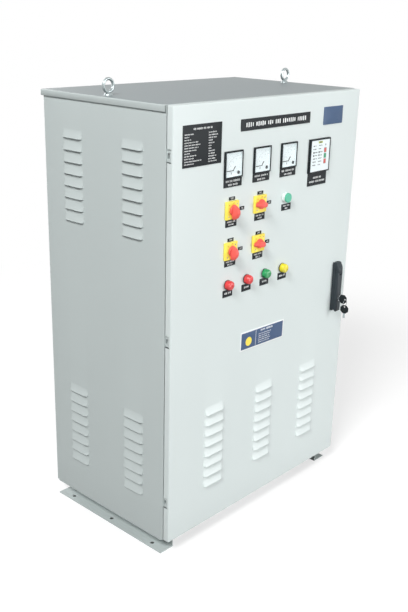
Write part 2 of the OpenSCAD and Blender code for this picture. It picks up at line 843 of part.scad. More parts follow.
// Swing handle: flat base, turning hub with spindle and cam, lifting lever with a lock
module handle_base() {
    color(dark_plastic) difference() {
        translate([handle_x, door_front, (handle_z0 + handle_z1) / 2])
            front_block(handle_w, handle_l, handle_base_t, 2.5);
        translate([handle_x, door_front + cut, hub_z]) rod_y(spindle_r + run, handle_base_t + 2 * cut);
    }
}
module handle_hub() {
    top = handle_z1 - hub_z;
    low = lift_z + lever_t / 2 + 0.5 - hub_z;
    pin_z = lift_z - hub_z;
    color(dark_plastic) translate([handle_x, lever_y, hub_z]) {
        // Head that slopes from its lower front to the door
        intersection() {
            rotate([90, 0, 90]) linear_extrude(lever_w, center = true)
                polygon([[0, low], [-lever_t, low], [-lever_t, -4], [-1.5, top], [0, top]]);
            translate([0, 0, low]) linear_extrude(top - low) front_block_2d(lever_w, lever_t, lever_edge_r);
        }
        // Tongue with the cross pin of the lever
        box(-5, 5, -lever_t + 1, -1, pin_z, 0);
        translate([0, -lever_t / 2, pin_z]) rotate([0, 90, 0]) cylinder(r = 5, h = 10, center = true);
        translate([0, -lever_t / 2, pin_z]) rotate([0, 90, 0]) cylinder(r = 2, h = 22, center = true);
        // Spindle through the base and the door
        translate([0, 40, 0]) rod_y(spindle_r, 40);
    }
}
module latch_cam() {
    y = lever_y + 36;
    color(zinc) translate([handle_x, y, hub_z]) difference() {
        union() {
            translate([0, 3, 0]) rod_y(14, 3);
            box(0, open_x - 2.5 - handle_x, 0, 3, -10, 10);
        }
        translate([0, 5, 0]) rod_y(spindle_r, 10);
    }
}
// Lever: its round top end turns about the cross pin, and its lower end is cut back towards the door
module handle_lever() {
    r = lever_t / 2;
    color(dark_plastic) translate([handle_x, lever_y, 0]) difference() {
        intersection() {
            union() {
                rotate([90, 0, 90]) linear_extrude(lever_w, center = true)
                    polygon([[0, lever_z0 + 8], [-lever_t + 3, lever_z0], [-lever_t, lever_z0 + 2],
                        [-lever_t, lift_z], [0, lift_z]]);
                translate([0, -r, lift_z]) rotate([0, 90, 0]) cylinder(r = r, h = lever_w, center = true);
            }
            translate([0, 0, lever_z0]) linear_extrude(lift_z + r - lever_z0)
                front_block_2d(lever_w, lever_t, lever_edge_r);
        }
        // Slot for the hub's tongue and hole of the cross pin
        box(-5.3, 5.3, -lever_t - cut, cut, lift_z - r, lift_z + r + cut);
        translate([0, -r, lift_z]) rotate([0, 90, 0]) cylinder(r = 2 + run, h = lever_w + 2, center = true);
        translate([0, cut, lock_z]) rod_y(lock_r, lever_t + 2 * cut);
    }
}
module lock_cylinder() {
    color(zinc) translate([handle_x, lever_y, lock_z]) difference() {
        union() {
            translate([0, -0.5, 0]) rod_y(lock_r, lever_t);
            translate([0, -lever_t, 0]) rod_y(lock_r + 0.8, 1);
        }
        translate([0, -2.5, 0]) rod_y(plug_r + run, lever_t + 2);
    }
}
module lock_plug() {
    color("#B9BDC0") translate([handle_x, lever_y, lock_z]) difference() {
        translate([0, -3, 0]) rod_y(plug_r, lever_t - 1.5);
        translate([0, -3 - lever_t / 2, 0]) cube([2, lever_t + 2, 8], center = true);
    }
}
// Key in the Y-Z plane: blade towards +Y from Y = 0, bow towards -Y with its hole
module key_form(blade) {
    rotate([90, 0, 90]) linear_extrude(key_t, center = true) difference() {
        polygon([[0, -5], [-7, -14], [-19, -14.5], [-27, -7], [-27, 7], [-19, 14.5], [-7, 14], [0, 5]]);
        translate([-key_hole, 0]) circle(3, $fn = 32);
    }
    box(-1, 1, -1, blade, -4, 4);
}
module key() {
    color(black) translate([handle_x, key_y, lock_z]) key_form(11);
}
module key_ring() {
    color(zinc) translate([handle_x, key_hole_y, ring_z]) rotate([90, 0, 0])
        rotate_extrude($fn = 48) translate([ring_r, 0]) circle(ring_wire, $fn = 16);
}
module spare_key() {
    color(black) translate([handle_x, key_hole_y, spare_z - key_hole]) rotate([-90, 0, 0]) key_form(16);
}

side_panel_left();
side_panel_right();
back_panel();
front_frame();
floor_pan();
gland_plate();
roof_cap();
base_rail_left();
base_rail_right();
eyebolt_left();
eyebolt_right();
hinge_brackets();
hinge_pins();
mounting_plate();
floor_channels();
transformer_core();
transformer_coils();
choke_core();
choke_coil();
heat_sink();
thyristor_modules();
control_board();
filter_capacitors();
contactor();
breakers();
terminal_strip();
din_rails();
door_panel();
door_seal();
hinge_leaves();
meter_housings();
meter_dials();
meter_windows();
display_case();
display_face();
display_keys();
switch_plates();
switch_blocks();
button_collar();
lamp_holders();
lamp_lenses_red();
lamp_lens_green();
lamp_lens_yellow();
handle_base();
meter_pointer_1();
meter_pointer_2();
meter_pointer_3();
switch_knob_1();
switch_knob_2();
switch_knob_3();
switch_knob_4();
button_cap();
handle_hub();
latch_cam();
handle_lever();
lock_cylinder();
lock_plug();
key();
key_ring();
spare_key();
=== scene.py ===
import math
import bmesh
import bpy
import numpy as np
from mathutils import Matrix, Vector


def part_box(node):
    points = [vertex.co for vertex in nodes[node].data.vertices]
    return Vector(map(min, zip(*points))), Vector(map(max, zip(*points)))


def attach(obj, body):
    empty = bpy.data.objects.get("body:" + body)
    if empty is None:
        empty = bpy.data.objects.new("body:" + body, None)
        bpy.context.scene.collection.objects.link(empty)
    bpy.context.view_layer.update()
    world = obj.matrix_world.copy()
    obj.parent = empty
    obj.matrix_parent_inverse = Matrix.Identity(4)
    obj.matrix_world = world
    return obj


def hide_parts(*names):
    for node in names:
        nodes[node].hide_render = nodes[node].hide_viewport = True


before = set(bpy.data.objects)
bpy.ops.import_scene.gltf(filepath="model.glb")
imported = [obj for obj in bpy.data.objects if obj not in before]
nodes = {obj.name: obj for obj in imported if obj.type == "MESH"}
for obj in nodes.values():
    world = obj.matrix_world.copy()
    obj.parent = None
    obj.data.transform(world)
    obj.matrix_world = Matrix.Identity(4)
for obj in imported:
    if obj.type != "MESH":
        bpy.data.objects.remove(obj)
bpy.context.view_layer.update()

scene = bpy.context.scene
mm = 0.001
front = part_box("handle_base")[1].y / mm  # front plane of the door, in millimetres


# Camera at the photo's view, in metres and degrees; the picture is 408 x 612
shot = {"place": (-1.8550, -1.7005, 1.4814), "target": (-0.0056, -0.0163, 0.6030), "roll": 1.46,
        "lens": 50.0, "sensor": 36.0}


def makeCamera():
    # Right is forward x up, turned by the roll; the columns of the matrix are right, up and backward
    place = np.array(shot["place"])
    forward = np.array(shot["target"]) - place
    forward /= np.linalg.norm(forward)
    right = np.cross(forward, (0, 0, 1))
    right /= np.linalg.norm(right)
    up = np.cross(right, forward)
    c, s = math.cos(math.radians(shot["roll"])), math.sin(math.radians(shot["roll"]))
    data = bpy.data.cameras.new("camera")
    data.lens, data.sensor_width = shot["lens"], shot["sensor"]
    camera = bpy.data.objects.new("camera", data)
    scene.collection.objects.link(camera)
    turned = np.eye(4)
    turned[:3, 0], turned[:3, 1], turned[:3, 2] = c * right + s * up, c * up - s * right, -forward
    turned[:3, 3] = place
    camera.matrix_world = Matrix(turned.tolist())
    scene.camera = camera


makeCamera()
scene.view_settings.view_transform = "Standard"
print("camera in place")


# Light: a large lamp before the door, a smaller one high above the left side, a weak one behind and a dim
# world; places and sizes in metres, powers in watts
studio = {"world": {"level": 0.28, "zenith": 0.05}, "aim": (0, 0, 0.65),
          "lamps": [("frontLamp", (2.8, -6.5, 1.1), 2.8, 336.0), ("sideLamp", (-5.6, -2.4, 5.9), 2.2, 555.0),
                    ("backLamp", (1.5, 6.0, 2.0), 3.6, 170.0)],
          "floor": {"size": 14.0, "shade": 0.30, "seen": 0.45, "glow": 0.66, "fade": (1.3, 2.6),
                    # The last value is the tone of the nearly black painted shade beneath the rails' bolt
                    # holes
                    "holes": (0.382, 0.100), "reach": (0.014, 0.110), "edge": 0.004, "under": 0.05}}


def newNodes(tree, *kinds):
    # A new node of each kind, without the words that the type of every shader node starts with
    return [tree.nodes.new("ShaderNode" + kind) for kind in kinds]


def connect(tree, *pairs):
    # Each pair is an output and the input that it feeds
    for start, end in pairs:
        tree.links.new(start, end)


def seenDirectly(tree):
    # 1 for a ray that comes from the camera, from a gloss or through glass, else 0
    path, first, second = newNodes(tree, "LightPath", "Math", "Math")
    first.operation = second.operation = "MAXIMUM"
    connect(tree, (path.outputs["Is Camera Ray"], first.inputs[0]),
            (path.outputs["Is Glossy Ray"], first.inputs[1]), (first.outputs[0], second.inputs[0]),
            (path.outputs["Is Transmission Ray"], second.inputs[1]))
    return second.outputs[0]


def makeWorld():
    # The light from above is dimmer than that from the horizon; what is seen directly is white
    look = studio["world"]
    world = bpy.data.worlds.new("studio")
    world.use_nodes = True
    tree = world.node_tree
    tree.nodes.clear()
    coord, split, height = newNodes(tree, "TexCoord", "SeparateXYZ", "MapRange")
    soft, white, mix, out = newNodes(tree, "Background", "Background", "MixShader", "OutputWorld")
    height.inputs["To Min"].default_value = look["level"]
    height.inputs["To Max"].default_value = look["zenith"]
    white.inputs["Color"].default_value = (1, 1, 1, 1)
    connect(tree, (coord.outputs["Generated"], split.inputs[0]), (split.outputs["Z"], height.inputs["Value"]),
            (height.outputs[0], soft.inputs["Strength"]), (seenDirectly(tree), mix.inputs[0]),
            (soft.outputs[0], mix.inputs[1]), (white.outputs[0], mix.inputs[2]),
            (mix.outputs[0], out.inputs[0]))
    scene.world = world


def makeLights():
    for name, place, size, power in studio["lamps"]:
        data = bpy.data.lights.new(name, "AREA")
        data.size, data.energy = size, power
        lamp = bpy.data.objects.new(name, data)
        lamp.location = place
        lamp.rotation_euler = (Vector(studio["aim"]) - Vector(place)).to_track_quat("-Z", "Y").to_euler()
        scene.collection.objects.link(lamp)


def makeFloor():
    # Near the cabinet the floor takes its shadow, past the fade it is plain white, and under the bolt holes
    # of the rails, where the larger of ||x| - a| - c and ||y| - b| - d is below zero, it has no glow and a
    # nearly
    # black colour: painted shade seen through the holes
    look = studio["floor"]
    half = look["size"] / 2
    mesh = bpy.data.meshes.new("floor")
    corners = [(-half, -half, 0), (half, -half, 0), (half, half, 0), (-half, half, 0)]
    mesh.from_pydata(corners, [], [(0, 1, 2, 3)])
    floor = bpy.data.objects.new("floor", mesh)
    scene.collection.objects.link(floor)
    mat = bpy.data.materials.new("floorPaper")
    mat.use_nodes = True
    tree = mat.node_tree
    tree.nodes.clear()
    coord, length, fade, rim = newNodes(tree, "TexCoord", "VectorMath", "MapRange", "MapRange")
    steps, (split, larger) = newNodes(tree, *["VectorMath"] * 4), newNodes(tree, "SeparateXYZ", "Math")
    # The third diffuse is nearly black: painted shade seen through the rails' bolt holes
    plain, seen, dark = newNodes(tree, *["BsdfDiffuse"] * 3)
    glow, white, both, out = newNodes(tree, "Emission", "Emission", "AddShader", "OutputMaterial")
    near, mix, under = newNodes(tree, *["MixShader"] * 3)
    length.operation, larger.operation = "LENGTH", "MAXIMUM"
    for step, operation in zip(steps, ("ABSOLUTE", "SUBTRACT", "ABSOLUTE", "SUBTRACT")):
        step.operation = operation
    steps[1].inputs[1].default_value = look["holes"] + (0,)
    steps[3].inputs[1].default_value = look["reach"] + (0,)
    rim.inputs["From Min"].default_value, rim.inputs["From Max"].default_value = -look["edge"], look["edge"]
    fade.interpolation_type = "SMOOTHSTEP"
    fade.inputs["From Min"].default_value, fade.inputs["From Max"].default_value = look["fade"]
    for shader, value in ((plain, "shade"), (seen, "seen"), (dark, "under")):
        shader.inputs["Color"].default_value = (look[value],) * 3 + (1,)
    glow.inputs["Strength"].default_value = look["glow"]
    place = coord.outputs["Object"]
    chain = [place] + [step.outputs["Vector"] for step in steps]
    connect(tree, *zip(chain, [step.inputs[0] for step in steps + [split]]))
    connect(tree, (place, length.inputs[0]), (length.outputs["Value"], fade.inputs["Value"]),
            (split.outputs["X"], larger.inputs[0]), (split.outputs["Y"], larger.inputs[1]),
            (larger.outputs[0], rim.inputs["Value"]), (seen.outputs[0], both.inputs[0]),
            (glow.outputs[0], both.inputs[1]), (rim.outputs[0], under.inputs[0]),
            (dark.outputs[0], under.inputs[1]), (both.outputs[0], under.inputs[2]),
            (fade.outputs[0], near.inputs[0]), (under.outputs[0], near.inputs[1]),
            (white.outputs[0], near.inputs[2]), (seenDirectly(tree), mix.inputs[0]),
            (plain.outputs[0], mix.inputs[1]), (near.outputs[0], mix.inputs[2]),
            (mix.outputs[0], out.inputs[0]))
    mesh.materials.append(mat)


makeWorld()
makeLights()
makeFloor()
print("studio in place")


def tone(code):
    # A colour written as #RRGGBB, made linear: ((c + 0.055) / 1.055) ^ 2.4 above the dark end
    c = np.array([int(code[i:i + 2], 16) for i in (1, 3, 5)]) / 255
    return tuple(np.where(c <= 0.04045, c / 12.92, ((c + 0.055) / 1.055) ** 2.4)) + (1,)


# Finishes: tint is how far the colour drifts, drift how fast, grain a bump of that many waves a metre and
# that depth in millimetres, bands are stripes along an axis with their pitch and depth in millimetres,
# stretch squeezes the noise along an axis, and shine is the strength of the plain gloss, 0.5 for lacquers
finishes = {
    "paint": {"color": "#DCE5E4", "rough": 0.42, "tint": 0.02, "drift": 3.0, "grain": (420, 0.03),
              "shine": 0.25},
    # The door's paint made darker and less glossy for the cabinet body: painted shade of the sides, back,
    # rails and roof
    "shadedBodyPaint": {"color": "#C6CFCE", "rough": 0.42, "tint": 0.02, "drift": 3.0, "grain": (420, 0.03),
                  "shine": 0.08},
    # The roof's top in a darker tone still: painted shade on the same sheet
    "roofTopShadePaint": {"color": "#959EA0", "rough": 0.42, "tint": 0.03, "drift": 2.0, "grain": (420, 0.03),
                 "shine": 0.12},
    "plateSteel": {"color": "#B4BBBE", "rough": 0.5, "metal": 0.35, "tint": 0.06, "drift": 6,
                   "grain": (300, 0.03), "shine": 0.2},
    "zinc": {"color": "#B9BFC2", "rough": 0.32, "metal": 0.9, "tint": 0.10, "drift": 25,
             "grain": (300, 0.03)},
    "forged": {"color": "#A7B0B1", "rough": 0.30, "metal": 0.75, "tint": 0.12, "drift": 60,
               "grain": (200, 0.08)},
    "ringSteel": {"color": "#7C8386", "rough": 0.28, "metal": 0.9, "tint": 0.08, "drift": 60,
                  "grain": (300, 0.02)},
    "coreSteel": {"color": "#54585C", "rough": 0.5, "tint": 0.10, "drift": 12, "grain": (300, 0.05),
                  "bands": ("Y", 4, 0.3)},
    "winding": {"color": "#A34C2E", "rough": 0.32, "tint": 0.12, "drift": 20, "grain": (200, 0.04),
                "bands": ("Z", 6, 0.8)},
    "aluminium": {"color": "#7A8083", "rough": 0.5, "metal": 0.7, "tint": 0.05, "drift": 30,
                  "grain": (500, 0.03), "stretch": (1, 1, 0.05)},
    "blackPlastic": {"color": "#252A2D", "rough": 0.50, "tint": 0.08, "drift": 20, "grain": (900, 0.03),
                     "shine": 0.25},
    "cableBrown": {"color": "#6E432D", "rough": 0.4, "tint": 0.06, "drift": 30, "grain": (400, 0.02),
                   "shine": 0.3},
    "cableBlue": {"color": "#3A5C97", "rough": 0.4, "tint": 0.06, "drift": 30, "grain": (400, 0.02),
                  "shine": 0.3},
    "copper": {"color": "#8F553A", "rough": 0.5, "metal": 0.3, "tint": 0.08, "drift": 30,
               "grain": (300, 0.02)},
    "duct": {"color": "#8E979A", "rough": 0.5, "tint": 0.03, "drift": 20, "grain": (700, 0.02)},
    "boardGreen": {"color": "#2B6E45", "rough": 0.35, "tint": 0.10, "drift": 60, "grain": (400, 0.03)},
    "sleeve": {"color": "#33415F", "rough": 0.28, "tint": 0.06, "drift": 20, "grain": (150, 0.03)},
    "lightPlastic": {"color": "#E6E6E0", "rough": 0.42, "tint": 0.03, "drift": 20, "grain": (900, 0.02)},
    "greyPlastic": {"color": "#868B8E", "rough": 0.5, "tint": 0.05, "drift": 30, "grain": (900, 0.03)},
    "foam": {"color": "#17191B", "rough": 0.85, "tint": 0.15, "drift": 80, "grain": (1200, 0.3)},
    "dialWhite": {"color": "#EEF8FA", "rough": 0.40, "tint": 0.01, "drift": 30, "grain": (500, 0.01)},
    "window": {"color": "#F2FAFB", "rough": 0.05, "tint": 0.01, "drift": 20, "grain": (60, 0.01),
               "alpha": 0.06, "shine": 0.3},
    "keyRed": {"color": "#D0665F", "rough": 0.40, "tint": 0.05, "drift": 90, "grain": (600, 0.02),
               "shine": 0.3},
    "keyGreen": {"color": "#3F9F74", "rough": 0.40, "tint": 0.05, "drift": 90, "grain": (600, 0.02),
                 "shine": 0.3},
    "screenLime": {"color": "#B7C36A", "rough": 0.30, "tint": 0.06, "drift": 90, "grain": (400, 0.01),
                   "shine": 0.3},
    "yellow": {"color": "#FFE85E", "rough": 0.38, "tint": 0.03, "drift": 30, "grain": (700, 0.03),
               "shine": 0.3},
    "amber": {"color": "#CFA63A", "rough": 0.45, "tint": 0.04, "drift": 60, "grain": (600, 0.01),
              "shine": 0.3},
    "collar": {"color": "#DFEAE8", "rough": 0.34, "tint": 0.02, "drift": 30, "grain": (500, 0.02)},
    "holder": {"color": "#3A4043", "rough": 0.48, "tint": 0.05, "drift": 40, "grain": (700, 0.03),
               "shine": 0.25},
    "lensRed": {"color": "#EB3A3C", "rough": 0.14, "tint": 0.14, "drift": 90, "grain": (80, 0.04),
                "glassy": 0.15, "shine": 0.7},
    "lensGreen": {"color": "#22A65E", "rough": 0.14, "tint": 0.16, "drift": 90, "grain": (80, 0.04),
                  "glassy": 0.15, "shine": 0.7},
    "lensYellow": {"color": "#FAE628", "rough": 0.14, "tint": 0.12, "drift": 90, "grain": (80, 0.04),
                   "glassy": 0.15, "shine": 0.7},
    "handlePlastic": {"color": "#31383D", "rough": 0.46, "tint": 0.08, "drift": 25, "grain": (1000, 0.05),
                      "shine": 0.25},
    "knobRed": {"color": "#F5635A", "rough": 0.38, "tint": 0.04, "drift": 40, "grain": (700, 0.03),
                "shine": 0.3},
    "buttonGreen": {"color": "#63C2A2", "rough": 0.42, "tint": 0.03, "drift": 60, "grain": (600, 0.02),
                    "shine": 0.3},
    "chrome": {"color": "#C9CED1", "rough": 0.16, "metal": 1.0, "tint": 0.04, "drift": 60,
               "grain": (200, 0.01)},
    "plateBlack": {"color": "#1F2427", "rough": 0.48, "tint": 0.05, "drift": 15, "grain": (700, 0.02),
                   "shine": 0.15},
    "printWhite": {"color": "#F1F4F4", "rough": 0.45, "tint": 0.02, "drift": 40, "grain": (900, 0.01)},
    "printGrey": {"color": "#8F999C", "rough": 0.45, "tint": 0.04, "drift": 40, "grain": (900, 0.01)},
    "printFaint": {"color": "#C2CCCE", "rough": 0.45, "tint": 0.03, "drift": 40, "grain": (900, 0.01)},
    "printDark": {"color": "#30383B", "rough": 0.45, "tint": 0.04, "drift": 40, "grain": (900, 0.01),
                  "shine": 0.2},
    "slate": {"color": "#3F587A", "rough": 0.40, "tint": 0.05, "drift": 18, "grain": (600, 0.02),
              "shine": 0.3},
    "noticeBlue": {"color": "#40587C", "rough": 0.42, "tint": 0.04, "drift": 18, "grain": (600, 0.02),
                   "shine": 0.3},
}


def makeFinish(name, color, rough, tint, drift, grain, metal=0.0, bands=None, stretch=(1, 1, 1), alpha=1.0,
               glassy=0.0, shine=0.5):
    # Colour = tone x (1 - tint .. 1 + tint) by a slow noise; a fine one gives the height, and the roughness
    # from 0.85 to 1.15 of its value
    mat = bpy.data.materials.new(name)
    mat.use_nodes = True
    tree = mat.node_tree
    shader = tree.nodes["Principled BSDF"]
    coord, mapping, slow, fine = newNodes(tree, "TexCoord", "Mapping", "TexNoise", "TexNoise")
    mix, spread, bump = newNodes(tree, "Mix", "MapRange", "Bump")
    place, base = coord.outputs["Object"], tone(color)
    mapping.inputs["Scale"].default_value = stretch
    slow.inputs["Scale"].default_value, slow.inputs["Detail"].default_value = drift, 3
    fine.inputs["Scale"].default_value, fine.inputs["Detail"].default_value = grain[0], 2
    mix.data_type = "RGBA"
    for slot, share in ((6, 1 - tint), (7, 1 + tint)):
        mix.inputs[slot].default_value = tuple(min(c * share, 1) for c in base[:3]) + (1,)
    spread.inputs["To Min"].default_value, spread.inputs["To Max"].default_value = rough * 0.85, rough * 1.15
    bump.inputs["Distance"].default_value = grain[1] * mm
    connect(tree, (place, mapping.inputs[0]), (place, slow.inputs["Vector"]),
            (mapping.outputs[0], fine.inputs["Vector"]), (slow.outputs[0], mix.inputs[0]),
            (fine.outputs[0], spread.inputs["Value"]), (fine.outputs[0], bump.inputs["Height"]),
            (mix.outputs[2], shader.inputs["Base Color"]), (spread.outputs[0], shader.inputs["Roughness"]),
            (bump.outputs[0], shader.inputs["Normal"]))
    if bands:
        # A sine of the chosen axis; the wave texture's period is 2 pi / 20 of its scaled length
        wave, relief = newNodes(tree, "TexWave", "Bump")
        wave.bands_direction = bands[0]
        wave.inputs["Scale"].default_value = math.pi / 10 / (bands[1] * mm)
        relief.inputs["Distance"].default_value = bands[2] * mm
        connect(tree, (place, wave.inputs["Vector"]), (wave.outputs["Fac"], relief.inputs["Height"]),
                (relief.outputs[0], bump.inputs["Normal"]))
    for socket, value in (("Metallic", metal), ("Alpha", alpha), ("Transmission Weight", glassy),
                          ("Specular IOR Level", shine)):
        shader.inputs[socket].default_value = value
    return mat


materials = {name: makeFinish(name, **values) for name, values in finishes.items()}

# CAD nodes that stay as they are, by finish
dressed = {
    # Body parts in the darker copy of the door's paint, which paints in their shade
    "shadedBodyPaint": "base_rail_left base_rail_right back_panel front_frame floor_pan hinge_brackets "
                 "hinge_leaves",
    "plateSteel": "mounting_plate din_rails",
    "zinc": "gland_plate hinge_pins floor_channels latch_cam",
    "coreSteel": "transformer_core choke_core",
    "aluminium": "heat_sink",
    "blackPlastic": "thyristor_modules switch_blocks",
    "sleeve": "filter_capacitors",
    "greyPlastic": "terminal_strip",
    "foam": "door_seal",
    "dialWhite": "meter_dials display_face",
    "window": "meter_windows",
    "collar": "button_collar",
    "holder": "lamp_holders",
    "buttonGreen": "button_cap",
    "chrome": "lock_cylinder lock_plug",
    "forged": "eyebolt_left eyebolt_right",
    "ringSteel": "key_ring",
}
for finish, names in dressed.items():
    for name in names.split():
        nodes[name].data.materials.clear()
        nodes[name].data.materials.append(materials[finish])
print("finishes on the frame")


# Points within the distance, in metres, are merged; edges that turn by more than the crisp angle stay sharp
merging = {"distance": 0.001 * mm, "crispAngle": 35.0}


def addPiece(name, parts, finish, body, stands=(), closed=True):
    # Joins parts, each its points in millimetres and its faces, welds them and turns closed shapes outwards
    points = np.concatenate([np.asarray(p, float).reshape(-1, 3) for p, _ in parts]) * mm
    starts = np.cumsum([0] + [np.asarray(p).reshape(-1, 3).shape[0] for p, _ in parts[:-1]])
    faces = [tuple(int(i) + int(s) for i in face) for s, (_, fs) in zip(starts, parts) for face in fs]
    mesh = bpy.data.meshes.new(name)
    mesh.from_pydata(points.tolist(), [], faces)
    bm = bmesh.new()
    bm.from_mesh(mesh)
    bmesh.ops.remove_doubles(bm, verts=bm.verts, dist=merging["distance"])
    if closed:
        bmesh.ops.recalc_face_normals(bm, faces=bm.faces)
    bm.to_mesh(mesh)
    bm.free()
    obj = bpy.data.objects.new(name, mesh)
    scene.collection.objects.link(obj)
    settle(obj)
    mesh.materials.append(materials[finish])
    if stands:
        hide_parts(*stands)
    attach(obj, body)
    return obj


def settle(obj):
    # Smooth shading, with the edges that turn by more than the crisp angle left sharp
    obj.data.polygons.foreach_set("use_smooth", np.ones(len(obj.data.polygons), bool))
    obj.data.set_sharp_from_angle(angle=math.radians(merging["crispAngle"]))


def applyModifiers(obj):
    # The evaluated mesh takes the place of the live one
    made = bpy.data.meshes.new_from_object(obj.evaluated_get(bpy.context.evaluated_depsgraph_get()))
    obj.modifiers.clear()
    obj.data = made
    settle(obj)


def gridFaces(rows, cols, closed=False):
    # Quads between neighbouring points of a grid that is numbered row by row
    i, j = np.meshgrid(np.arange(rows - 1), np.arange(cols if closed else cols - 1), indexing="ij")
    k = (j + 1) % cols
    return np.stack([i * cols + j, i * cols + k, (i + 1) * cols + k, (i + 1) * cols + j], -1).reshape(-1, 4)


cornerSteps = 6  # points of each quarter circle


def roundRing(w, h, r):
    # Four corner centres, each with a quarter circle of radius r round it
    r = min(r, w / 2, h / 2)
    turn = np.radians(np.arange(4)[:, None] * 90 + np.linspace(0, 90, cornerSteps)[None])
    sx, sz = np.array([[1], [-1], [-1], [1]]), np.array([[1], [1], [-1], [-1]])
    x, z = sx * (w / 2 - r) + r * np.cos(turn), sz * (h / 2 - r) + r * np.sin(turn)
    return np.stack([x.ravel(), z.ravel()], -1)


def slab(x, z, w, h, thick, back=0.0, corner=1.0, edge=0.4, turn=0.0, steps=3):
    # Rounded rectangles stacked from the back face to the front one, closed by a point on each face; the
    # front edge is an arc of radius edge
    count, least = 4 * cornerSteps, 0.01
    rings = [(0, 0, least, 0), (w, h, corner, 0)]
    for a in np.linspace(0, math.pi / 2, steps + 1):
        inset, drop = edge * (1 - math.cos(a)), edge * (1 - math.sin(a))
        rings.append((w - 2 * inset, h - 2 * inset, max(corner - inset, least), thick - drop))
    rings.append((0, 0, least, thick))
    points = []
    for rw, rh, rr, out in rings:
        flat = roundRing(rw, rh, rr) if rw else np.zeros((count, 2))
        points.append(np.column_stack([flat[:, 0], np.full(count, front - back - out), flat[:, 1]]))
    points = np.array(points)
    c, s = math.cos(math.radians(turn)), math.sin(math.radians(turn))
    across, up = points[..., 0] * c - points[..., 2] * s, points[..., 0] * s + points[..., 2] * c
    points[..., 0], points[..., 2] = across + x, up + z
    return points, gridFaces(len(rings), count, closed=True)


def lathe(profile, x, z, back=0.0, count=48, flute=0, depth=0.0):
    # Radius and height of each profile point carried round the -Y axis; within 0.66 of the largest radius,
    # flute waves sink the height by depth
    angle = np.linspace(0, 2 * math.pi, count, endpoint=False)
    r, out = np.array(profile, float).T[..., None]
    wave = 0.5 - 0.5 * np.cos(flute * angle) if flute else np.zeros(count)
    sunk = depth * wave * (r > 0) * (r < r.max() * 0.66)
    points = np.stack([x + r * np.cos(angle), front - back - out + sunk, z + r * np.sin(angle)], -1)
    return points, gridFaces(len(r), count, closed=True)


# Folded sheet panels with pressed louvres, lengths in millimetres; a louvre's surface is worked out at shares
# of its half length and of its height
louvre = {"length": 80.0, "height": 24.0, "out": 8.0, "pitch": 32.6, "count": 8, "rim": 0.7, "wall": 1.5,
          "endPower": 9, "endFade": 0.8, "topPower": 1.5}
alongShares = np.array([0, 0.3, 0.55, 0.70, 0.79, 0.85, 0.90, 0.935, 0.962, 0.982, 0.994, 1.0])
alongShares = np.concatenate([-alongShares[:0:-1], alongShares])
upShares = np.array([0, 0.04, 0.10, 0.20, 0.32, 0.45, 0.58, 0.70, 0.80, 0.88, 0.95, 1.0])
sameHeight = 1e-6  # millimetres within which two heights are one


def louvreRise(s, t):
    # A wedge, (1 - t)^1.5 from the lip to the top, that fades to both ends as (1 - |s|^9)^0.8
    top = (1 - np.clip(t, 0, 1)) ** louvre["topPower"]
    ends = np.clip(1 - np.abs(s) ** louvre["endPower"], 0, 1) ** louvre["endFade"]
    return louvre["out"] * top * ends


def foldedPanel(uRange, vRange, columns, lips, bend, fold, notches=(), notchFrom=5.5):
    # Face: height over a grid of u and v. Edge: an arc of radius bend, then a fold, carried round the face.
    # Each row has its share t of a louvre's height, or -1 between louvres
    half = louvre["length"] / 2
    reach = np.concatenate([alongShares * half, (-half - louvre["rim"], half + louvre["rim"])])
    u = np.unique(np.concatenate([[uRange[0] + bend, uRange[1] - bend]] + [c + reach for c in columns]))
    edges = np.array([vRange[0] + bend, vRange[1] - bend] + [z + s for z, h in notches for s in (-h, h)])
    shares = (edges[:, None] - np.array(lips)[None]) / louvre["height"]
    within = (shares > 0) & (shares < 1)
    rows = [(v, max(share[held], default=-1.0)) for v, share, held in zip(edges, shares, within)]
    for lip in lips:
        rows += [(lip, -1.0)] + [(lip + t * louvre["height"], t) for t in upShares]
    rows.sort(key=lambda row: (row[0], row[1]))
    v, t = np.array(rows).T
    s = np.min([np.abs(u - c) / half for c in columns], axis=0)
    rise = louvreRise(np.minimum(s, 1)[None, :], np.where(t < 0, 1, t)[:, None])
    face = np.stack(np.broadcast_arrays(u[None, :], v[:, None], rise), -1)
    quads = gridFaces(len(v), len(u)).reshape(len(v) - 1, len(u) - 1, 4)
    quads = quads[~((t[:-1] < 0) & (t[1:] == 0) & (np.abs(v[1:] - v[:-1]) < sameHeight))]
    # The border of the face, walked round once, with its outward direction fanned at the corners
    w = np.unique(v)
    sides = [[(x, w[0]) for x in u], [(u[-1], z) for z in w], [(x, w[-1]) for x in u[::-1]],
             [(u[0], z) for z in w[::-1]]]
    walk = []
    for k, side in enumerate(sides):
        walk += [place + (k * 90 - 90,) for place in side]
        walk += [side[-1] + (k * 90 - 90 + fan,) for fan in (18, 36, 54, 72)]
    walk = np.array(walk)
    outward = np.radians(walk[:, 2])
    turns = np.radians(np.linspace(0, 90, 7))
    profile = [(bend * math.sin(a), -bend * (1 - math.cos(a))) for a in turns]
    if notches:
        profile.append((bend, -notchFrom))
    profile = np.array(profile + [(bend, -fold)])
    border = np.stack([walk[:, 0, None] + np.cos(outward)[:, None] * profile[:, 0],
                       walk[:, 1, None] + np.sin(outward)[:, None] * profile[:, 0],
                       np.broadcast_to(profile[:, 1], (len(walk), len(profile)))], -1)
    strip = gridFaces(len(walk) + 1, len(profile)).reshape(len(walk), len(profile) - 1, 4)
    strip = strip % (len(walk) * len(profile))
    keep = np.ones(strip.shape[:2], bool)
    for z, h in notches:
        ahead = np.roll(walk[:, 1], -1)
        low, high = np.minimum(walk[:, 1], ahead), np.maximum(walk[:, 1], ahead)
        opened = (walk[:, 2] == 180) & (low > z - h - sameHeight) & (high < z + h + sameHeight)
        keep[opened, -1] = False
    return [(face.reshape(-1, 3), quads.reshape(-1, 4)), (border.reshape(-1, 3), strip[keep])]


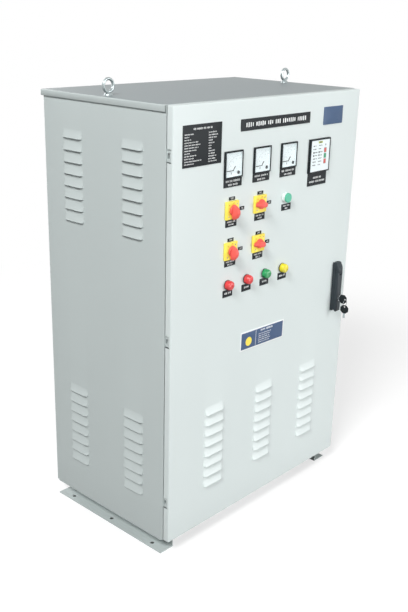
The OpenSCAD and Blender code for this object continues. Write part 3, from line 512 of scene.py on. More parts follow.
def makePanel(name, node, finish, body, parts, placeAt):
    # placeAt turns across, up and out into the row's x, y and z; the sheet is then thickened inwards
    placed = [(placeAt(p[:, 0], p[:, 1], p[:, 2]), f) for p, f in parts]
    obj = addPiece(name, placed, finish, body, stands=[node], closed=False)
    wall = obj.modifiers.new("wall", "SOLIDIFY")
    wall.thickness, wall.offset = louvre["wall"] * mm, -1
    applyModifiers(obj)


# Middles of the louvre columns, heights of the first lips, the bend's radius, the fold's depth and the hinges
doorPlan = {"columns": (-221.0, 0.0, 221.0), "firstLip": 401.0, "bend": 4.0, "hinges": (174.0, 657.0, 1140.0),
            "notch": 17.0}
sidePlan = {"columns": (-118.0, 118.0), "firstLips": (1142.5, 391.0), "bend": 1.5, "fold": 18.0, "inset": 0.1}


def makePanels():
    lo, hi = (np.array(c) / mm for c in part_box("door_panel"))
    lips = [doorPlan["firstLip"] - i * louvre["pitch"] for i in range(louvre["count"])]
    notches = [(z, doorPlan["notch"]) for z in doorPlan["hinges"]]
    parts = foldedPanel((lo[0], hi[0]), (lo[2], hi[2]), doorPlan["columns"], lips, doorPlan["bend"],
                        hi[1] - front, notches)
    makePanel("doorSkin", "door_panel", "paint", "door", parts,
              lambda u, v, out: np.column_stack([u, front - out, v]))
    lips = [z - i * louvre["pitch"] for z in sidePlan["firstLips"] for i in range(louvre["count"])]
    gap = sidePlan["inset"]
    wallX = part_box("floor_pan")[1].x / mm + louvre["wall"]
    for side, name, node in ((-1, "sideSkinLeft", "side_panel_left"),
                             (1, "sideSkinRight", "side_panel_right")):
        lo, hi = (np.array(c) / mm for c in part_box(node))
        parts = foldedPanel((lo[1] + gap, hi[1] - gap), (lo[2] + gap, hi[2] - gap), sidePlan["columns"], lips,
                            sidePlan["bend"], sidePlan["fold"])
        # The sides take the darker copy of the door's paint: painted shade
        makePanel(name, node, "shadedBodyPaint", "cabinet", parts,
                  lambda u, v, out: np.column_stack([side * (wallX + out), side * u, v]))


makePanels()
print("folded panels made")


# Plates on the door: place of the middle, width and height in millimetres on the door's plane; the rows of
# print are offset up, share of the plate's width and letter size
plates = {
    "thick": 1.2,
    "data": (-296.0, 1160.0, 142.0, 104.0),
    "dataHead": (11.0, 0.5, 5.0),
    "dataRows": {"count": 12, "first": 23.0, "pitch": 6.6, "size": 3.2, "left": 6.0, "right": 22.0},
    "title": (0.0, 1195.5, 302.0, 31.0),
    "titleRow": (0.88, 12.5),
    "badge": (265.0, 1193.5, 95.0, 51.0, 1.5),
    "meters": [(-176.0, 1050.5, 72.0, 23.0), (-58.7, 1050.5, 71.4, 23.0), (59.5, 1050.5, 72.0, 23.0)],
    "metersRows": [(4.8, 0.84, 5.8), (-5.2, 0.55, 5.8)],
    "display": [(203.0, 1015.0, 92.5, 40.0)],
    "displayRows": [(3.0, 0.52, 6.0), (-8.0, 0.86, 6.0)],
    "switches": [(-177.5, 941.8, 45.0, 20.5), (-57.6, 941.0, 44.0, 20.0), (-176.5, 831.0, 45.0, 18.0),
                 (-59.0, 830.0, 43.5, 18.0), (60.8, 950.5, 42.5, 19.0)],
    "switchesRows": [(3.8, 0.8, 4.6), (-3.8, 0.46, 4.6)],
    "lamps": [(-182.0, 745.5, 39.4, 20.5), (-102.7, 745.5, 39.4, 20.5), (-23.2, 745.5, 39.4, 20.5),
              (59.2, 745.5, 39.4, 20.5)],
    "lampsRows": [(0.6, 0.72, 6.0)],
    "tags": (("OFF", (24.0, 9.0), [(-176.5, 1008.0), (-58.5, 1007.5), (-176.5, 895.5), (-58.5, 895.0)]),
             ("ON", (18.0, 9.5), [(-134.4, 976.0), (-18.0, 975.0), (-134.4, 864.0), (-18.0, 863.0)])),
    "tagLetters": 6.2,
}
# The notice is turned a little; its places are offsets from its middle
notice = {"place": (-18.0, 578.3), "size": (199.0, 57.5), "turn": -1.7, "edge": 0.5, "face": 0.9,
          "border": 4.0, "heading": (18.0, 18.5, 62.0, 6.4), "rule": (-31.0, 1.2, 11.0),
          "rows": {"count": 5, "left": -18.0, "first": 8.0, "pitch": 6.4, "width": (36, 78), "size": 3.0},
          "spot": (-63.0, -2.0, 13.5)}
draw = np.random.default_rng(11)


def boxes(rects, back, thick=0.12, turn=0.0, middle=(0.0, 0.0)):
    # Thin blocks of ink: each rectangle's four corners at two depths
    x, z, w, h = np.array(rects, float).T
    sx, sz = np.array([-1, 1, 1, -1]) / 2, np.array([-1, -1, 1, 1]) / 2
    px, pz = x[:, None] + w[:, None] * sx, z[:, None] + h[:, None] * sz
    c, s = math.cos(math.radians(turn)), math.sin(math.radians(turn))
    dx, dz = px - middle[0], pz - middle[1]
    px, pz = middle[0] + dx * c - dz * s, middle[1] + dx * s + dz * c
    return raised(px, pz, back, thick)


def raised(px, pz, back, thick):
    # Blocks over flat four-sided outlines, from one depth to another
    points = np.stack([np.stack([px, np.full_like(px, front - back - d), pz], -1) for d in (0, thick)], 1)
    one = np.array([(0, 1, 2, 3), (4, 5, 6, 7), (0, 1, 5, 4), (1, 2, 6, 5), (2, 3, 7, 6), (3, 0, 4, 7)])
    return points.reshape(-1, 3), (np.arange(len(px))[:, None, None] * 8 + one).reshape(-1, 4)


def bars(rows, back, thick=0.12):
    # Ink along straight lines, each x, z, x, z and width: the ends are moved sideways by half the width
    x1, z1, x2, z2, w = np.array(rows, float).T
    half = w / 2 / np.hypot(x2 - x1, z2 - z1)
    dx, dz = (z1 - z2) * half, (x2 - x1) * half
    return raised(np.stack([x1 + dx, x2 + dx, x2 - dx, x1 - dx], -1),
                  np.stack([z1 + dz, z2 + dz, z2 - dz, z1 - dz], -1), back, thick)


def arcRows(x, z, r, start, end, width, count=10):
    # A circle's arc as short straight lines, angles in degrees from the right
    a = np.radians(np.linspace(start, end, count + 1))
    px, pz = x + r * np.cos(a), z + r * np.sin(a)
    return list(zip(px[:-1], pz[:-1], px[1:], pz[1:], [width] * count))


def lettering(word, x, z, size, back, thick=0.06):
    # A text curve made mesh and stood upright on the door, its middle at x and z
    curve = bpy.data.curves.new("letters", "FONT")
    curve.body, curve.size, curve.align_x, curve.align_y = word, size, "CENTER", "CENTER"
    curve.extrude, curve.resolution_u = thick, 3
    holder = bpy.data.objects.new("letters", curve)
    scene.collection.objects.link(holder)
    mesh = bpy.data.meshes.new_from_object(holder.evaluated_get(bpy.context.evaluated_depsgraph_get()))
    flat = np.empty(len(mesh.vertices) * 3)
    mesh.vertices.foreach_get("co", flat)
    flat = flat.reshape(-1, 3)
    faces = [tuple(p.vertices) for p in mesh.polygons]
    bpy.data.objects.remove(holder)
    bpy.data.meshes.remove(mesh)
    return np.column_stack([x + flat[:, 0], front - back - thick - flat[:, 2], z + flat[:, 1]]), faces


def strokes(x, z, width, size, align="middle"):
    # Words of upright blocks, about as wide as the line; they stand for print and spell nothing
    rects, at = [], 0.0
    while at < width - size:
        for _ in range(draw.integers(3, 8)):
            if at > width - size * 0.5:
                break
            wide, high = size * draw.uniform(0.26, 0.42), size * draw.uniform(0.7, 1.0)
            rects.append((at + size * 0.22, 0.0, wide, high))
            at += size * 0.68
        at += size * 0.55
    rects = np.array(rects)
    used = rects[:, 0].max() + size * 0.22
    rects[:, 0] += x - (used / 2 if align == "middle" else 0)
    rects[:, 1] += z
    return [tuple(r) for r in rects]


def makeLabels(kind, groups):
    # The labels of each group are one piece, their print is another
    slabs, ink = [], []
    for group in groups:
        for x, z, w, h in plates[group]:
            slabs.append(slab(x, z, w, h, plates["thick"], corner=0.6, edge=0.3))
            for up, share, size in plates[group + "Rows"]:
                ink += strokes(x, z + up, w * share, size)
    addPiece(kind + "Labels", slabs, "plateBlack", "door")
    addPrint(kind + "Print", ink)


def addPrint(name, ink, back=plates["thick"], **turned):
    # White blocks of print at the given height above the door
    addPiece(name, [boxes(ink, back, **turned)], "printWhite", "door")


def makePlates():
    top = plates["thick"]
    makeLabels("instrument", ("meters", "display"))
    makeLabels("control", ("switches", "lamps"))

    tags, words = [], []
    for word, size, places in plates["tags"]:
        tags += [slab(x, z, *size, top, corner=0.6, edge=0.3) for x, z in places]
        words += [lettering(word, x, z, plates["tagLetters"], top) for x, z in places]
    addPiece("positionTags", tags, "plateBlack", "door")
    addPiece("positionPrint", words, "printWhite", "door")

    x, z, w, h = plates["data"]
    face = slab(x, z, w, h, top, corner=1.0, edge=0.3)
    addPiece("dataPlate", [face], "plateBlack", "door")
    down, share, size = plates["dataHead"]
    rows = plates["dataRows"]
    ink = strokes(x, z + h / 2 - down, w * share, size)
    for i in range(rows["count"]):
        up = z + h / 2 - rows["first"] - i * rows["pitch"]
        ink += strokes(x - w / 2 + rows["left"], up, w * draw.uniform(0.12, 0.52), rows["size"], "left")
        ink += strokes(x + rows["right"], up, w * draw.uniform(0.07, 0.24), rows["size"], "left")
    addPrint("dataPrint", ink)

    x, z, w, h = plates["title"]
    share, size = plates["titleRow"]
    face = slab(x, z, w, h, top, corner=1.0, edge=0.3)
    addPiece("titlePlate", [face], "plateBlack", "door")
    addPrint("titlePrint", strokes(x, z, w * share, size))

    face = slab(*plates["badge"], corner=1.5, edge=0.5)
    addPiece("badgePlate", [face], "slate", "door")


def makeNotice():
    # A blue field with a white edge, a yellow disc, an upright line and rows of print
    (x, z), (w, h), turn, out = notice["place"], notice["size"], notice["turn"], notice["face"]
    edge = slab(x, z, w, h, notice["edge"], corner=1.0, edge=0.15, turn=turn)
    addPiece("noticeEdge", [edge], "printWhite", "door")
    w, h = w - 2 * notice["border"], h - 2 * notice["border"]
    face = slab(x, z, w, h, out, corner=0.8, edge=0.2, turn=turn)
    addPiece("noticePlate", [face], "noticeBlue", "door")
    dx, dz, wide, size = notice["heading"]
    addPrint("noticePrint", strokes(x + dx, z + dz, wide, size), out, turn=turn, middle=(x, z))
    dx, wide, short = notice["rule"]
    ink = [(x + dx, z, wide, notice["size"][1] - short)]
    rows = notice["rows"]
    for i in range(rows["count"]):
        up = z + rows["first"] - i * rows["pitch"]
        ink += strokes(x + rows["left"], up, draw.uniform(*rows["width"]), rows["size"], "left")
    addPrint("noticeLines", ink, out, turn=turn, middle=(x, z))
    dx, dz, r = notice["spot"]
    spot = lathe([(0, 0), (r, 0), (r, 0.12), (0, 0.12)], x + dx, z + dz, back=out)
    addPiece("noticeSpot", [spot], "yellow", "door")


makePlates()
makeNotice()
print("plates made")


# Degrees below which faces are joined, and above which edges are rounded
softening = {"flat": 0.5, "crisp": 40.0}


def softened(name, node, finish, body, width, steps=2):
    # A welded copy of the CAD mesh, flat faces joined, its crisp edges rounded by a bevel of that width
    mesh = nodes[node].data.copy()
    mesh.name = name
    mesh.transform(nodes[node].matrix_world)
    bm = bmesh.new()
    bm.from_mesh(mesh)
    bmesh.ops.remove_doubles(bm, verts=bm.verts, dist=merging["distance"])
    bmesh.ops.dissolve_limit(bm, angle_limit=math.radians(softening["flat"]), verts=bm.verts, edges=bm.edges)
    bm.to_mesh(mesh)
    bm.free()
    mesh.materials.clear()
    mesh.materials.append(materials[finish])
    obj = bpy.data.objects.new(name, mesh)
    scene.collection.objects.link(obj)
    bevel = obj.modifiers.new("bevel", "BEVEL")
    bevel.width, bevel.segments, bevel.angle_limit = width * mm, steps, math.radians(softening["crisp"])
    applyModifiers(obj)
    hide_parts(node)
    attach(obj, body)
    return obj


def recolor(obj, finish, where):
    # Faces whose middle lies where the test is true take another finish
    obj.data.materials.append(materials[finish])
    middle = np.array([tuple(p.center) for p in obj.data.polygons]).T / mm
    slots = np.zeros(len(obj.data.polygons), np.int32)
    obj.data.polygons.foreach_get("material_index", slots)
    slots[where(*middle)] = len(obj.data.materials) - 1
    obj.data.polygons.foreach_set("material_index", slots)


# Pieces that keep the CAD form with softer edges: name, node, finish, body, slot, bevel in millimetres
soft = [
    ("meterHousings", "meter_housings", "plateBlack", "door", "black_plastic", 0.5),
    ("displayCase", "display_case", "plateBlack", "door", "black_plastic", 0.5),
    ("switchPlates", "switch_plates", "yellow", "door", "plate_yellow", 0.6),
    ("handleBase", "handle_base", "handlePlastic", "door", "handle_plastic", 0.8),
    ("handleHub", "handle_hub", "handlePlastic", "handle", "handle_plastic", 0.5),
    ("handleLever", "handle_lever", "handlePlastic", "lever", "handle_plastic", 0.7),
    ("contactorBlock", "contactor", "blackPlastic", "cabinet", "black_plastic", 1.2),
    ("coilWindings", "transformer_coils", "winding", "cabinet", "winding", 5.0),
    ("chokeWinding", "choke_coil", "winding", "cabinet", "winding", 5.0),
]
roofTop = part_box("roof_cap")[1].z / mm
keys = {"blade": -285.7, "spareBlade": 569.7}  # depth and height where the blades begin, millimetres


def makeSoftPieces():
    for name, node, finish, body, slot, width in soft:
        softened(name, node, finish, body, width)
    # The roof cap keeps the body's paint on its edges; its top faces take a darker paint, painted shade
    roof = softened("roofCap", "roof_cap", "shadedBodyPaint", "cabinet", 0.2, 1)
    recolor(roof, "roofTopShadePaint", lambda x, y, z: z > roofTop - 0.4)
    # Each key is a black bow and a steel blade, told apart by where a face's middle lies
    key = softened("lockKey", "key", "plateBlack", "lock_key", 0.6)
    recolor(key, "chrome", lambda x, y, z: y > keys["blade"])
    spare = softened("spareKey", "spare_key", "plateBlack", "hanging_key", 0.6)
    recolor(spare, "chrome", lambda x, y, z: z < keys["spareBlade"])


makeSoftPieces()
print("housings and handle made")

# Meters: quadrant scales about a pivot in the lower right corner, lengths in millimetres from each dial's
# middle; ticks are length and width, the elbow is radius, start, end and width
meters = {"x": (-176.4, -58.7, 59.0), "z": 1098.0, "dial": 1.2, "pivot": (20.6, -22.6), "radius": 44.0,
          "start": 171.8, "sweep": 90.0, "ticks": 11, "long": (4.6, 0.7), "short": (2.8, 0.45), "line": 0.4,
          "numbers": ("0", "25", "50", "75", "100"), "numberRadius": 36.5, "numberSize": 5.0,
          "needle": (-20.0, -47.0, 6.6), "elbow": (20.5, 163.0, 124.0, 2.8), "mark": (-7.0, -22.7, 5.2, 3.0),
          "boss": [(0, 1.4), (4.5, 1.4), (4.5, 3.2), (4.2, 3.4), (0, 3.4)], "needleFloor": 2.2,
          "needleSize": (1.7, 0.5), "armSize": (1.4, 0.4), "armFoot": (-3.0, 1.0)}


def pivotOf(x):
    return x + meters["pivot"][0], meters["z"] + meters["pivot"][1]


def onDial(x, r, share):
    # The point at radius r and start - share x sweep degrees about the pivot of the meter at x
    px, pz = pivotOf(x)
    a = math.radians(meters["start"] - share * meters["sweep"])
    return px + r * math.cos(a), pz + r * math.sin(a)


def makeMeters():
    # Every second tick is a long one, and a line joins their feet
    look = meters
    ticks, marks, elbows, words = [], [], [], []
    for x in look["x"]:
        px, pz = pivotOf(x)
        for k in range(look["ticks"]):
            share = k / (look["ticks"] - 1)
            reach, width = look["short" if k % 2 else "long"]
            foot, tip = onDial(x, look["radius"], share), onDial(x, look["radius"] + reach, share)
            ticks.append(foot + tip + (width,))
        end = look["start"] - look["sweep"]
        ticks += arcRows(px, pz, look["radius"], look["start"], end, look["line"], 24)
        radius, start, end, width = look["elbow"]
        elbows += arcRows(px, pz, radius, start, end, width)
        dx, dz, high, wide = look["mark"]
        at, low = x + dx, look["z"] + dz - high / 2
        marks.append((at, low, at, low + high, wide))
        for k, word in enumerate(look["numbers"]):
            place = onDial(x, look["numberRadius"], k / (len(look["numbers"]) - 1))
            words.append(lettering(word, *place, look["numberSize"], look["dial"]))
    addPiece("dialScales", [bars(ticks, look["dial"])] + words, "printFaint", "door")
    addPiece("dialMarks", [bars(marks, look["dial"])], "printGrey", "door")
    addPiece("dialElbows", [bars(elbows, look["dial"], 0.3)], "plateBlack", "door")


def makePointers():
    # A boss and a black needle that starts at the crank; the arm between them is white like the dial
    look = meters
    crank, tip, rise = look["needle"]
    for i, x in enumerate(look["x"]):
        px, pz = pivotOf(x)
        body = "pointer_%d" % (i + 1)
        wide, thick = look["needleSize"]
        needle = bars([(px + tip, pz + rise, px + crank, pz + rise, wide)], look["needleFloor"], thick)
        addPiece("needle%d" % (i + 1), [lathe(look["boss"], px, pz), needle], "plateBlack", body,
                 stands=["meter_pointer_%d" % (i + 1)])
        (dx, dz), (wide, thick) = look["armFoot"], look["armSize"]
        arm = bars([(px + dx, pz + dz, px + crank, pz + rise, wide)], look["needleFloor"], thick)
        addPiece("needleArm%d" % (i + 1), [arm], "dialWhite", body)


makeMeters()
makePointers()
print("meters made")

# Alarm display: rows of marks, three keys; x, z, width and height in millimetres
display = {"face": 7.0, "lime": (202.3, 1121.3, 20.0, 6.0), "mark": (228.3, 1112.2, 5.0, 5.0),
           "rows": (1112.0, 1102.5, 1093.0, 1084.0, 1075.0, 1066.0, 1056.5), "columns": (174.5, 200.5),
           "squareRows": (2, 3), "square": (-3.0, 5.0), "short": (3.0, 11.0, 3.4), "long": (-6.0, 3.6),
           "longWidth": (14, 20), "shade": (0.55, 0.45), "keyX": 227.4, "key": (10.0, 12.0), "keyFrame": 2.4,
           "keys": (("red", 1096.7), ("green", 1080.5), ("red", 1064.2))}


def makeDisplay():
    look = display
    out, (w, h) = look["face"], look["key"]
    light, dark = [look["mark"]], []
    for i, z in enumerate(look["rows"]):
        for x in look["columns"]:
            if i in look["squareRows"]:
                (dx, side), (start, wide, size) = look["square"], look["short"]
                dark.append((x + dx, z, side, side))
                dark += strokes(x + start, z, wide, size, "left")
            else:
                start, size = look["long"]
                dark += strokes(x + start, z, draw.uniform(*look["longWidth"]), size, "left")
    light += [(look["keyX"], z, w + look["keyFrame"], h + look["keyFrame"]) for _, z in look["keys"]]
    x, z, wide, high = look["lime"]
    dark.append((x, z, wide * look["shade"][0], high * look["shade"][1]))
    addPiece("displayHeading", [boxes([look["lime"]], out)], "screenLime", "door")
    addPiece("displayPrint", [boxes(light, out)], "printGrey", "door")
    addPiece("displaySpots", [boxes(dark, out, 0.2)], "printDark", "door")
    for color, stands in (("red", ["display_keys"]), ("green", [])):
        caps = [slab(look["keyX"], z, w, h, 0.8, back=out, corner=1.5, edge=0.35)
                for kind, z in look["keys"] if kind == color]
        addPiece("displayKeys" + color.title(), caps, "key" + color.title(), "door", stands=stands)


makeDisplay()
print("display made")

# Rotary switches: place and angle of each knob; the grip is a disc cut to the plan of a lens
switches = {"places": ((-178.5, 977.5, 0.0), (-61.5, 977.5, -90.0), (-178.5, 866.0, 0.0),
                       (-61.5, 866.0, -90.0)),
            "back": 8.3, "disc": 20.5, "rise": 0.7, "lens": (37.2, 27.7), "base": 2.0, "edge": 2.0,
            "taper": 0.62, "offset": -4.6, "floor": 6.5, "screws": ((16.0, 16.0), (-16.0, -16.0)),
            "foot": [(0, 0), (14, 0), (13.9, 0.5), (13.1, 4.5), (12.6, 5), (0, 5)],
            "stem": [(0, 0), (4, 0), (4, -30), (0, -30)],
            "screwHead": [(0, 0), (2.2, 0), (2.2, 0.7), (1.7, 1.1), (0, 1.2)], "slot": (1.5, 1.0, 0.6),
            "slotFloor": 7.6, "markFloor": 8.0,
            "marks": ((-15.0, 15.0, 3.2, 4.0), (2.0, 19.5, 5.0, 2.6), (-16.0, -2.0, 3.4, 2.4),
                      (-15.5, 6.5, 1.6, 3.0))}


def knobGrip(x, z, turn):
    # Along u the top is rise + (R^2 - u^2)^0.5 and the half width (r^2 - u^2)^0.5 - c; each cross-section
    # narrows to the taper's share of it at the top, where a quarter circle rounds both corners
    look = switches
    u = look["disc"] * np.sin(np.linspace(-math.pi / 2, math.pi / 2, 45))
    top = np.maximum(look["rise"] + np.sqrt(look["disc"] ** 2 - u ** 2), look["base"] + 0.01)
    wide = np.sqrt(look["lens"][0] ** 2 - u ** 2) - look["lens"][1]
    edge = np.minimum(np.minimum(look["edge"], wide * 0.5), (top - look["base"]) * 0.5)[:, None]
    a = np.radians(np.linspace(0, 90, 6))
    upper = wide[:, None] * look["taper"]
    right = np.stack([upper - edge + edge * np.cos(a), top[:, None] - edge + edge * np.sin(a)], -1)
    foot = np.stack([wide, np.full_like(wide, look["base"])], -1)[:, None]
    ring = np.concatenate([foot, right, right[:, ::-1] * (-1, 1), foot * (-1, 1)], 1)
    local = np.stack([ring[..., 0], np.broadcast_to(u[:, None] + look["offset"], ring.shape[:2])], -1)
    c, s = math.cos(math.radians(turn)), math.sin(math.radians(turn))
    points = np.stack([x + local[..., 0] * c - local[..., 1] * s, front - look["back"] - ring[..., 1],
                       z + local[..., 0] * s + local[..., 1] * c], -1)
    faces = [tuple(f) for f in gridFaces(*ring.shape[:2], closed=True)]
    ends = np.arange(ring.shape[1])
    return points, faces + [tuple(ends[::-1]), tuple(ends + points[..., 0].size - len(ends))]


def makeSwitches():
    look = switches
    screws, slots, marks = [], [], []
    for i, (x, z, turn) in enumerate(look["places"]):
        parts = [lathe(look["foot"], x, z, look["back"], 64), knobGrip(x, z, turn),
                 lathe(look["stem"], x, z, look["back"], 24)]
        addPiece("knob%d" % (i + 1), parts, "knobRed", "knob_%d" % (i + 1),
                 stands=["switch_knob_%d" % (i + 1)])
        for dx, dz in look["screws"]:
            px, pz, (across, up, wide) = x + dx, z + dz, look["slot"]
            screws.append(lathe(look["screwHead"], px, pz, look["floor"], 20))
            slots.append((px - across, pz - up, px + across, pz + up, wide))
        marks += [(x + dx, z + dz, w, h) for dx, dz, w, h in look["marks"]]
    addPiece("plateScrews", screws, "zinc", "door")
    # The slots are near-black bars laid on the screw heads, not cut: painted shade of the recessed slots
    addPiece("plateScrewSlotShade", [bars(slots, look["slotFloor"], 0.15)], "foam", "door")
    addPiece("plateMarks", [boxes(marks, look["markFloor"], 0.1)], "amber", "door")


makeSwitches()
print("switches made")

# Lamps: place of each lens and its profile, radius and height above the door
lamps = {"x": (-183.0, -102.7, -22.4, 57.9), "z": 770.0, "radius": 13.0, "straight": 11.5, "round": 7.5,
         "top": 20.5, "ribs": 12, "depth": 0.6}


def lensProfile():
    # A straight wall, a quarter circle and a crown that falls with the square of the radius
    r, wall, edge, top = lamps["radius"], lamps["straight"], lamps["round"], lamps["top"]
    a = np.radians(np.linspace(0, 82, 9))
    arc = np.column_stack([r - edge + edge * np.cos(a), wall + edge * np.sin(a)])
    inner = np.linspace(r - edge, 0, 6)
    crown = np.column_stack([inner, top - (top - wall - edge) * (inner / (r - edge)) ** 2])
    return np.concatenate([[(0, 2), (r, 2)], arc, crown])


def makeLamps():
    profile, ribs = lensProfile(), (lamps["ribs"], lamps["depth"])
    for name, color, node, picks in (("lensesRed", "red", "lamp_lenses_red", (0, 1)),
                                     ("lensGreen", "green", "lamp_lens_green", (2,)),
                                     ("lensYellow", "yellow", "lamp_lens_yellow", (3,))):
        caps = [lathe(profile, lamps["x"][i], lamps["z"], 0.0, 60, *ribs) for i in picks]
        addPiece(name, caps, "lens" + color.title(), "door", stands=[node])


makeLamps()
print("lamps made")

# Parts on the mounting plate: x, z and sizes in millimetres, depths as y
innerParts = {
    "duct": {"plate": 205.0, "levels": (715.0, 522.0), "size": (640.0, 38.0, 40.0), "lid": 2.0,
             "finger": (6.0, 1.8), "pitch": 10.0, "inset": 1.0},
    "board": {"place": (-180.0, 1090.0, 191.0), "relays": 40, "parts": 46, "reach": 112, "low": (-54, -28),
              "high": (20, 54), "wide": (2, 7), "tall": (2, 6), "chip": 2.5, "part": 4.0},
    "toggles": 134.5,
    "labels": {"thin": (656, 15, 6, 153), "power": (-260, 620, 24, 9, 105)},
    "screw": [(0, 0), (3.8, 0), (3.8, 2), (3, 2.6), (0, 2.6)],
    "screwPlace": (18, 168),
    "link": (1100, 74, 11, 89),
    "cans": (122.5, 207.5),
}

# Wires in millimetres. A row has one wire at each x, on a route of y and z; a single one has x, y and z
wires = {
    "middle": 620,
    "power": (-284, -260, -236),
    "powerUp": [(140, 652), (146, 674), (178, 690), (186, 706)],
    "powerDown": [(140, 588), (146, 566), (178, 550), (186, 532)],
    "thin": (-141, -123, -105, -81, -63, -45, -21, -3, 21, 39),
    "thinUp": [(156, 656), (160, 672), (180, 688), (186, 702)],
    "thinDown": [(156, 584), (160, 566), (180, 550), (186, 534)],
    "strip": tuple(108 + 16 * i for i in range(12)),
    "stripUp": [(168, 648), (172, 670), (182, 686), (186, 704)],
    "stripDown": [(168, 592), (172, 570), (182, 554), (186, 536)],
    "moduleLeft": (-97, -7, 83),
    "moduleRight": (-83, 7, 97),
    "moduleUp": [(186, 723), (182, 750), (140, 790), (136, 836)],
    "moduleReturn": [(186, 723), (182, 750), (140, 792), (136, 836)],
    "coils": (-245, -120, 5),
    "coil": [(0, -14, 280), (0, -22, 330), (14, 80, 420), (26, 180, 478), (26, 188, 512)],
    "choke": [(192, 0, 200), (194, -12, 250), (206, 80, 390), (216, 178, 474), (216, 188, 512)],
    "entry": [(-306, 186, 510), (-318, 176, 470), (-334, 120, 400), (-340, 10, 280), (-320, -100, 150),
              (-190, -142, 90), (-150, -145, 53)],
    "board": [(-200, 186, 723), (-204, 184, 820), (-198, 184, 930), (-192, 182, 1012)],
}


def tube(path, r, around=10, along=8):
    # A circle carried along a smooth curve through the points of the path; between b and c it is half of
    # 2b + (c - a) t + (2a - 5b + 4c - d) t^2 + (3b - a - 3c + d) t^3
    p = np.array(path, float)
    p = np.concatenate([2 * p[:1] - p[1:2], p, 2 * p[-1:] - p[-2:-1]])
    a, b, c, d = (p[k:len(p) - 3 + k, None] for k in range(4))
    t = np.linspace(0, 1, along, endpoint=False)[None, :, None]
    bend, twist = 2 * a - 5 * b + 4 * c - d, 3 * b - a - 3 * c + d
    curve = 0.5 * (2 * b + (c - a) * t + bend * t ** 2 + twist * t ** 3)
    curve = np.concatenate([curve.reshape(-1, 3), p[-2:-1]])
    ahead = np.gradient(curve, axis=0)
    side = np.cross(ahead, (0.37, 0.61, 0.70))
    side /= np.linalg.norm(side, axis=1)[:, None]
    up = np.cross(side, ahead)
    up /= np.linalg.norm(up, axis=1)[:, None]
    angle = np.linspace(0, 2 * math.pi, around, endpoint=False)[:, None]
    rings = curve[:, None] + r * (side[:, None] * np.cos(angle) + up[:, None] * np.sin(angle))
    ends = np.arange(around)
    faces = [tuple(f) for f in gridFaces(len(curve), around, closed=True)]
    return rings, faces + [tuple(ends[::-1]), tuple(ends + (len(curve) - 1) * around)]


def makeDucts():
    # Slotted sides as rows of fingers under a plain lid
    look = innerParts["duct"]
    (w, h, deep), (wide, thick), lid = look["size"], look["finger"], look["lid"]
    x = np.arange(-w / 2 + wide / 2, w / 2, look["pitch"])
    out = h / 2 - look["inset"]
    lids = [(0, z, w, h) for z in look["levels"]]
    fingers = [(i, z + s * out, wide, thick) for z in look["levels"] for s in (-1, 1) for i in x]
    back = front - look["plate"]
    addPiece("ductFingers", [boxes(fingers, back, deep - lid)], "duct", "cabinet")
    addPiece("ductLids", [boxes(lids, back + deep - lid, lid)], "duct", "cabinet")


def makeBoard():
    # Grey connectors and black relays of the control board, chips and small parts strewn between them
    look = innerParts["board"]
    x, z, y = look["place"]
    board = softened("controlBoard", "control_board", "boardGreen", "cabinet", 0.4, 1)
    face, relays = y - 0.3, look["relays"]
    recolor(board, "greyPlastic", lambda px, py, pz: (py < face) & (np.abs(pz - z) > relays))
    recolor(board, "blackPlastic", lambda px, py, pz: (py < face) & (np.abs(pz - z) < relays))
    count = look["parts"]
    dx = draw.uniform(-look["reach"], look["reach"], count)
    high, low = draw.uniform(*look["high"], count), draw.uniform(*look["low"], count)
    dz = np.where(np.arange(count) % 2, high, low)
    small = [(x + i, z + k, draw.uniform(*look["wide"]), draw.uniform(*look["tall"])) for i, k in zip(dx, dz)]
    chips, parts = boxes(small[::2], front - y, look["chip"]), boxes(small[1::2], front - y, look["part"])
    addPiece("boardChips", [chips], "blackPlastic", "cabinet")
    addPiece("boardParts", [parts], "copper", "cabinet")


def makeDevices():
    # Dark toggles on the breakers, labels, screws in the terminals and links between the capacitors
    blocks = softened("breakerBlocks", "breakers", "lightPlastic", "cabinet", 0.8)
    recolor(blocks, "blackPlastic", lambda x, y, z: y < innerParts["toggles"])
    z, w, h, y = innerParts["labels"]["thin"]
    labels = [boxes([(x, z, w, h) for x in wires["thin"]], front - y, 0.3)]
    x, z, w, h, y = innerParts["labels"]["power"]
    labels.append(boxes([(x, z, w, h)], front - y, 0.3))
    addPiece("deviceLabels", labels, "printGrey", "cabinet")
    dz, y = innerParts["screwPlace"]
    heads = [lathe(innerParts["screw"], x, wires["middle"] + s * dz, front - y, 16) for x in wires["strip"]
             for s in (-1, 1)]
    addPiece("terminalScrews", heads, "zinc", "cabinet")
    z, w, h, y = innerParts["link"]
    links = boxes([(x, z, w, h) for x in innerParts["cans"]], front - y, 2.5)
    addPiece("capacitorLinks", [links], "copper", "cabinet")


def wireRow(key, route, r):
    # One wire of radius r at each x of the row
    return [tube([(x, y, z) for y, z in wires[route]], r) for x in wires[key]]


def makeWiring():
    black = wireRow("power", "powerUp", 4) + wireRow("power", "powerDown", 4)
    black += wireRow("moduleRight", "moduleReturn", 5)
    black += [tube(wires["choke"], 5), tube(wires["entry"], 9, 14)]
    blue = wireRow("thin", "thinUp", 2.2) + wireRow("thin", "thinDown", 2.2)
    brown = wireRow("strip", "stripUp", 2.2) + wireRow("strip", "stripDown", 2.2)
    brown += wireRow("moduleLeft", "moduleUp", 5)
    brown += [tube([(x + dx, y, z) for dx, y, z in wires["coil"]], 5) for x in wires["coils"]]
    addPiece("wiresBlack", black, "plateBlack", "cabinet")
    addPiece("wiresBlue", blue, "cableBlue", "cabinet")
    addPiece("wiresBrown", brown, "cableBrown", "cabinet")
    addPiece("boardSleeve", [tube(wires["board"], 7, 14)], "greyPlastic", "cabinet")


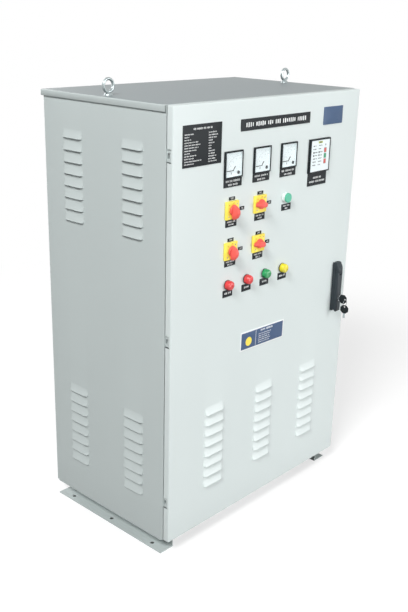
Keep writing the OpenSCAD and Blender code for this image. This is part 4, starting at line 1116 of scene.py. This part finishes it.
# The door's own harness in millimetres: below the meters and down the hinge side, with branches to the
# lamps, to the upper switches and, from the middle, to the lower ones
harness = {
    "main": [(196, -208, 1044), (120, -207, 1044), (-60, -207, 1044), (-200, -207, 1044), (-290, -209, 1030),
             (-322, -214, 960), (-328, -216, 820), (-326, -216, 700)],
    "lampsRight": [(-120, -206, 1044), (-120, -206, 960), (-120, -206, 860), (-116, -206, 812),
                   (-50, -208, 802), (57, -214, 796), (58, -217, 776)],
    "lampsLeft": [(-116, -206, 816), (-150, -208, 802), (-182, -214, 794), (-183, -217, 776)],
    "upper": [(-207, 1044), (-209, 1022), (-216, 1004), (-226, 994)],
    "lower": [(0, -206, 905), (0.5, -209, 898), (1, -213, 890), (1, -222, 882)],
    "switches": (-178.5, -61.5),
    "middle": -120,
}


def makeHarness():
    look = harness
    loom = [tube(look["main"], 6, 14), tube(look["lampsRight"], 4.5, 12), tube(look["lampsLeft"], 3.5, 12)]
    for x in look["switches"]:
        wide = x - look["middle"]
        loom.append(tube([(x, y, z) for y, z in look["upper"]], 3, 10))
        loom.append(tube([(look["middle"] + share * wide, y, z) for share, y, z in look["lower"]], 3))
    addPiece("doorHarness", loom, "greyPlastic", "door")


# Screws round the back panel, millimetres; the rows between are at the two sides only
backScrews = {"across": (-345.0, -172.5, 0.0, 172.5, 345.0), "rows": (105.0, 1215.0),
              "sides": (-345.0, 345.0), "between": (382.0, 660.0, 938.0),
              "head": [(0, 0), (5, 0), (4.8, 1.2), (3.6, 2.2), (1.6, 2.4), (1.4, 1.4), (0, 1.4)]}


def makeBackScrews():
    # Heads turned for the door's side, then mirrored to stand on the rear plane
    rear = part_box("back_panel")[1].y / mm
    spots = [(x, z) for x in backScrews["across"] for z in backScrews["rows"]]
    spots += [(x, z) for x in backScrews["sides"] for z in backScrews["between"]]
    heads = []
    for x, z in spots:
        points, faces = lathe(backScrews["head"], x, z, count=20)
        points[..., 1] = rear + front - points[..., 1]
        heads.append((points, faces))
    addPiece("backScrews", heads, "zinc", "cabinet")


makeBackScrews()
makeDucts()
makeBoard()
makeDevices()
makeWiring()
makeHarness()
print("inner parts and wiring made")
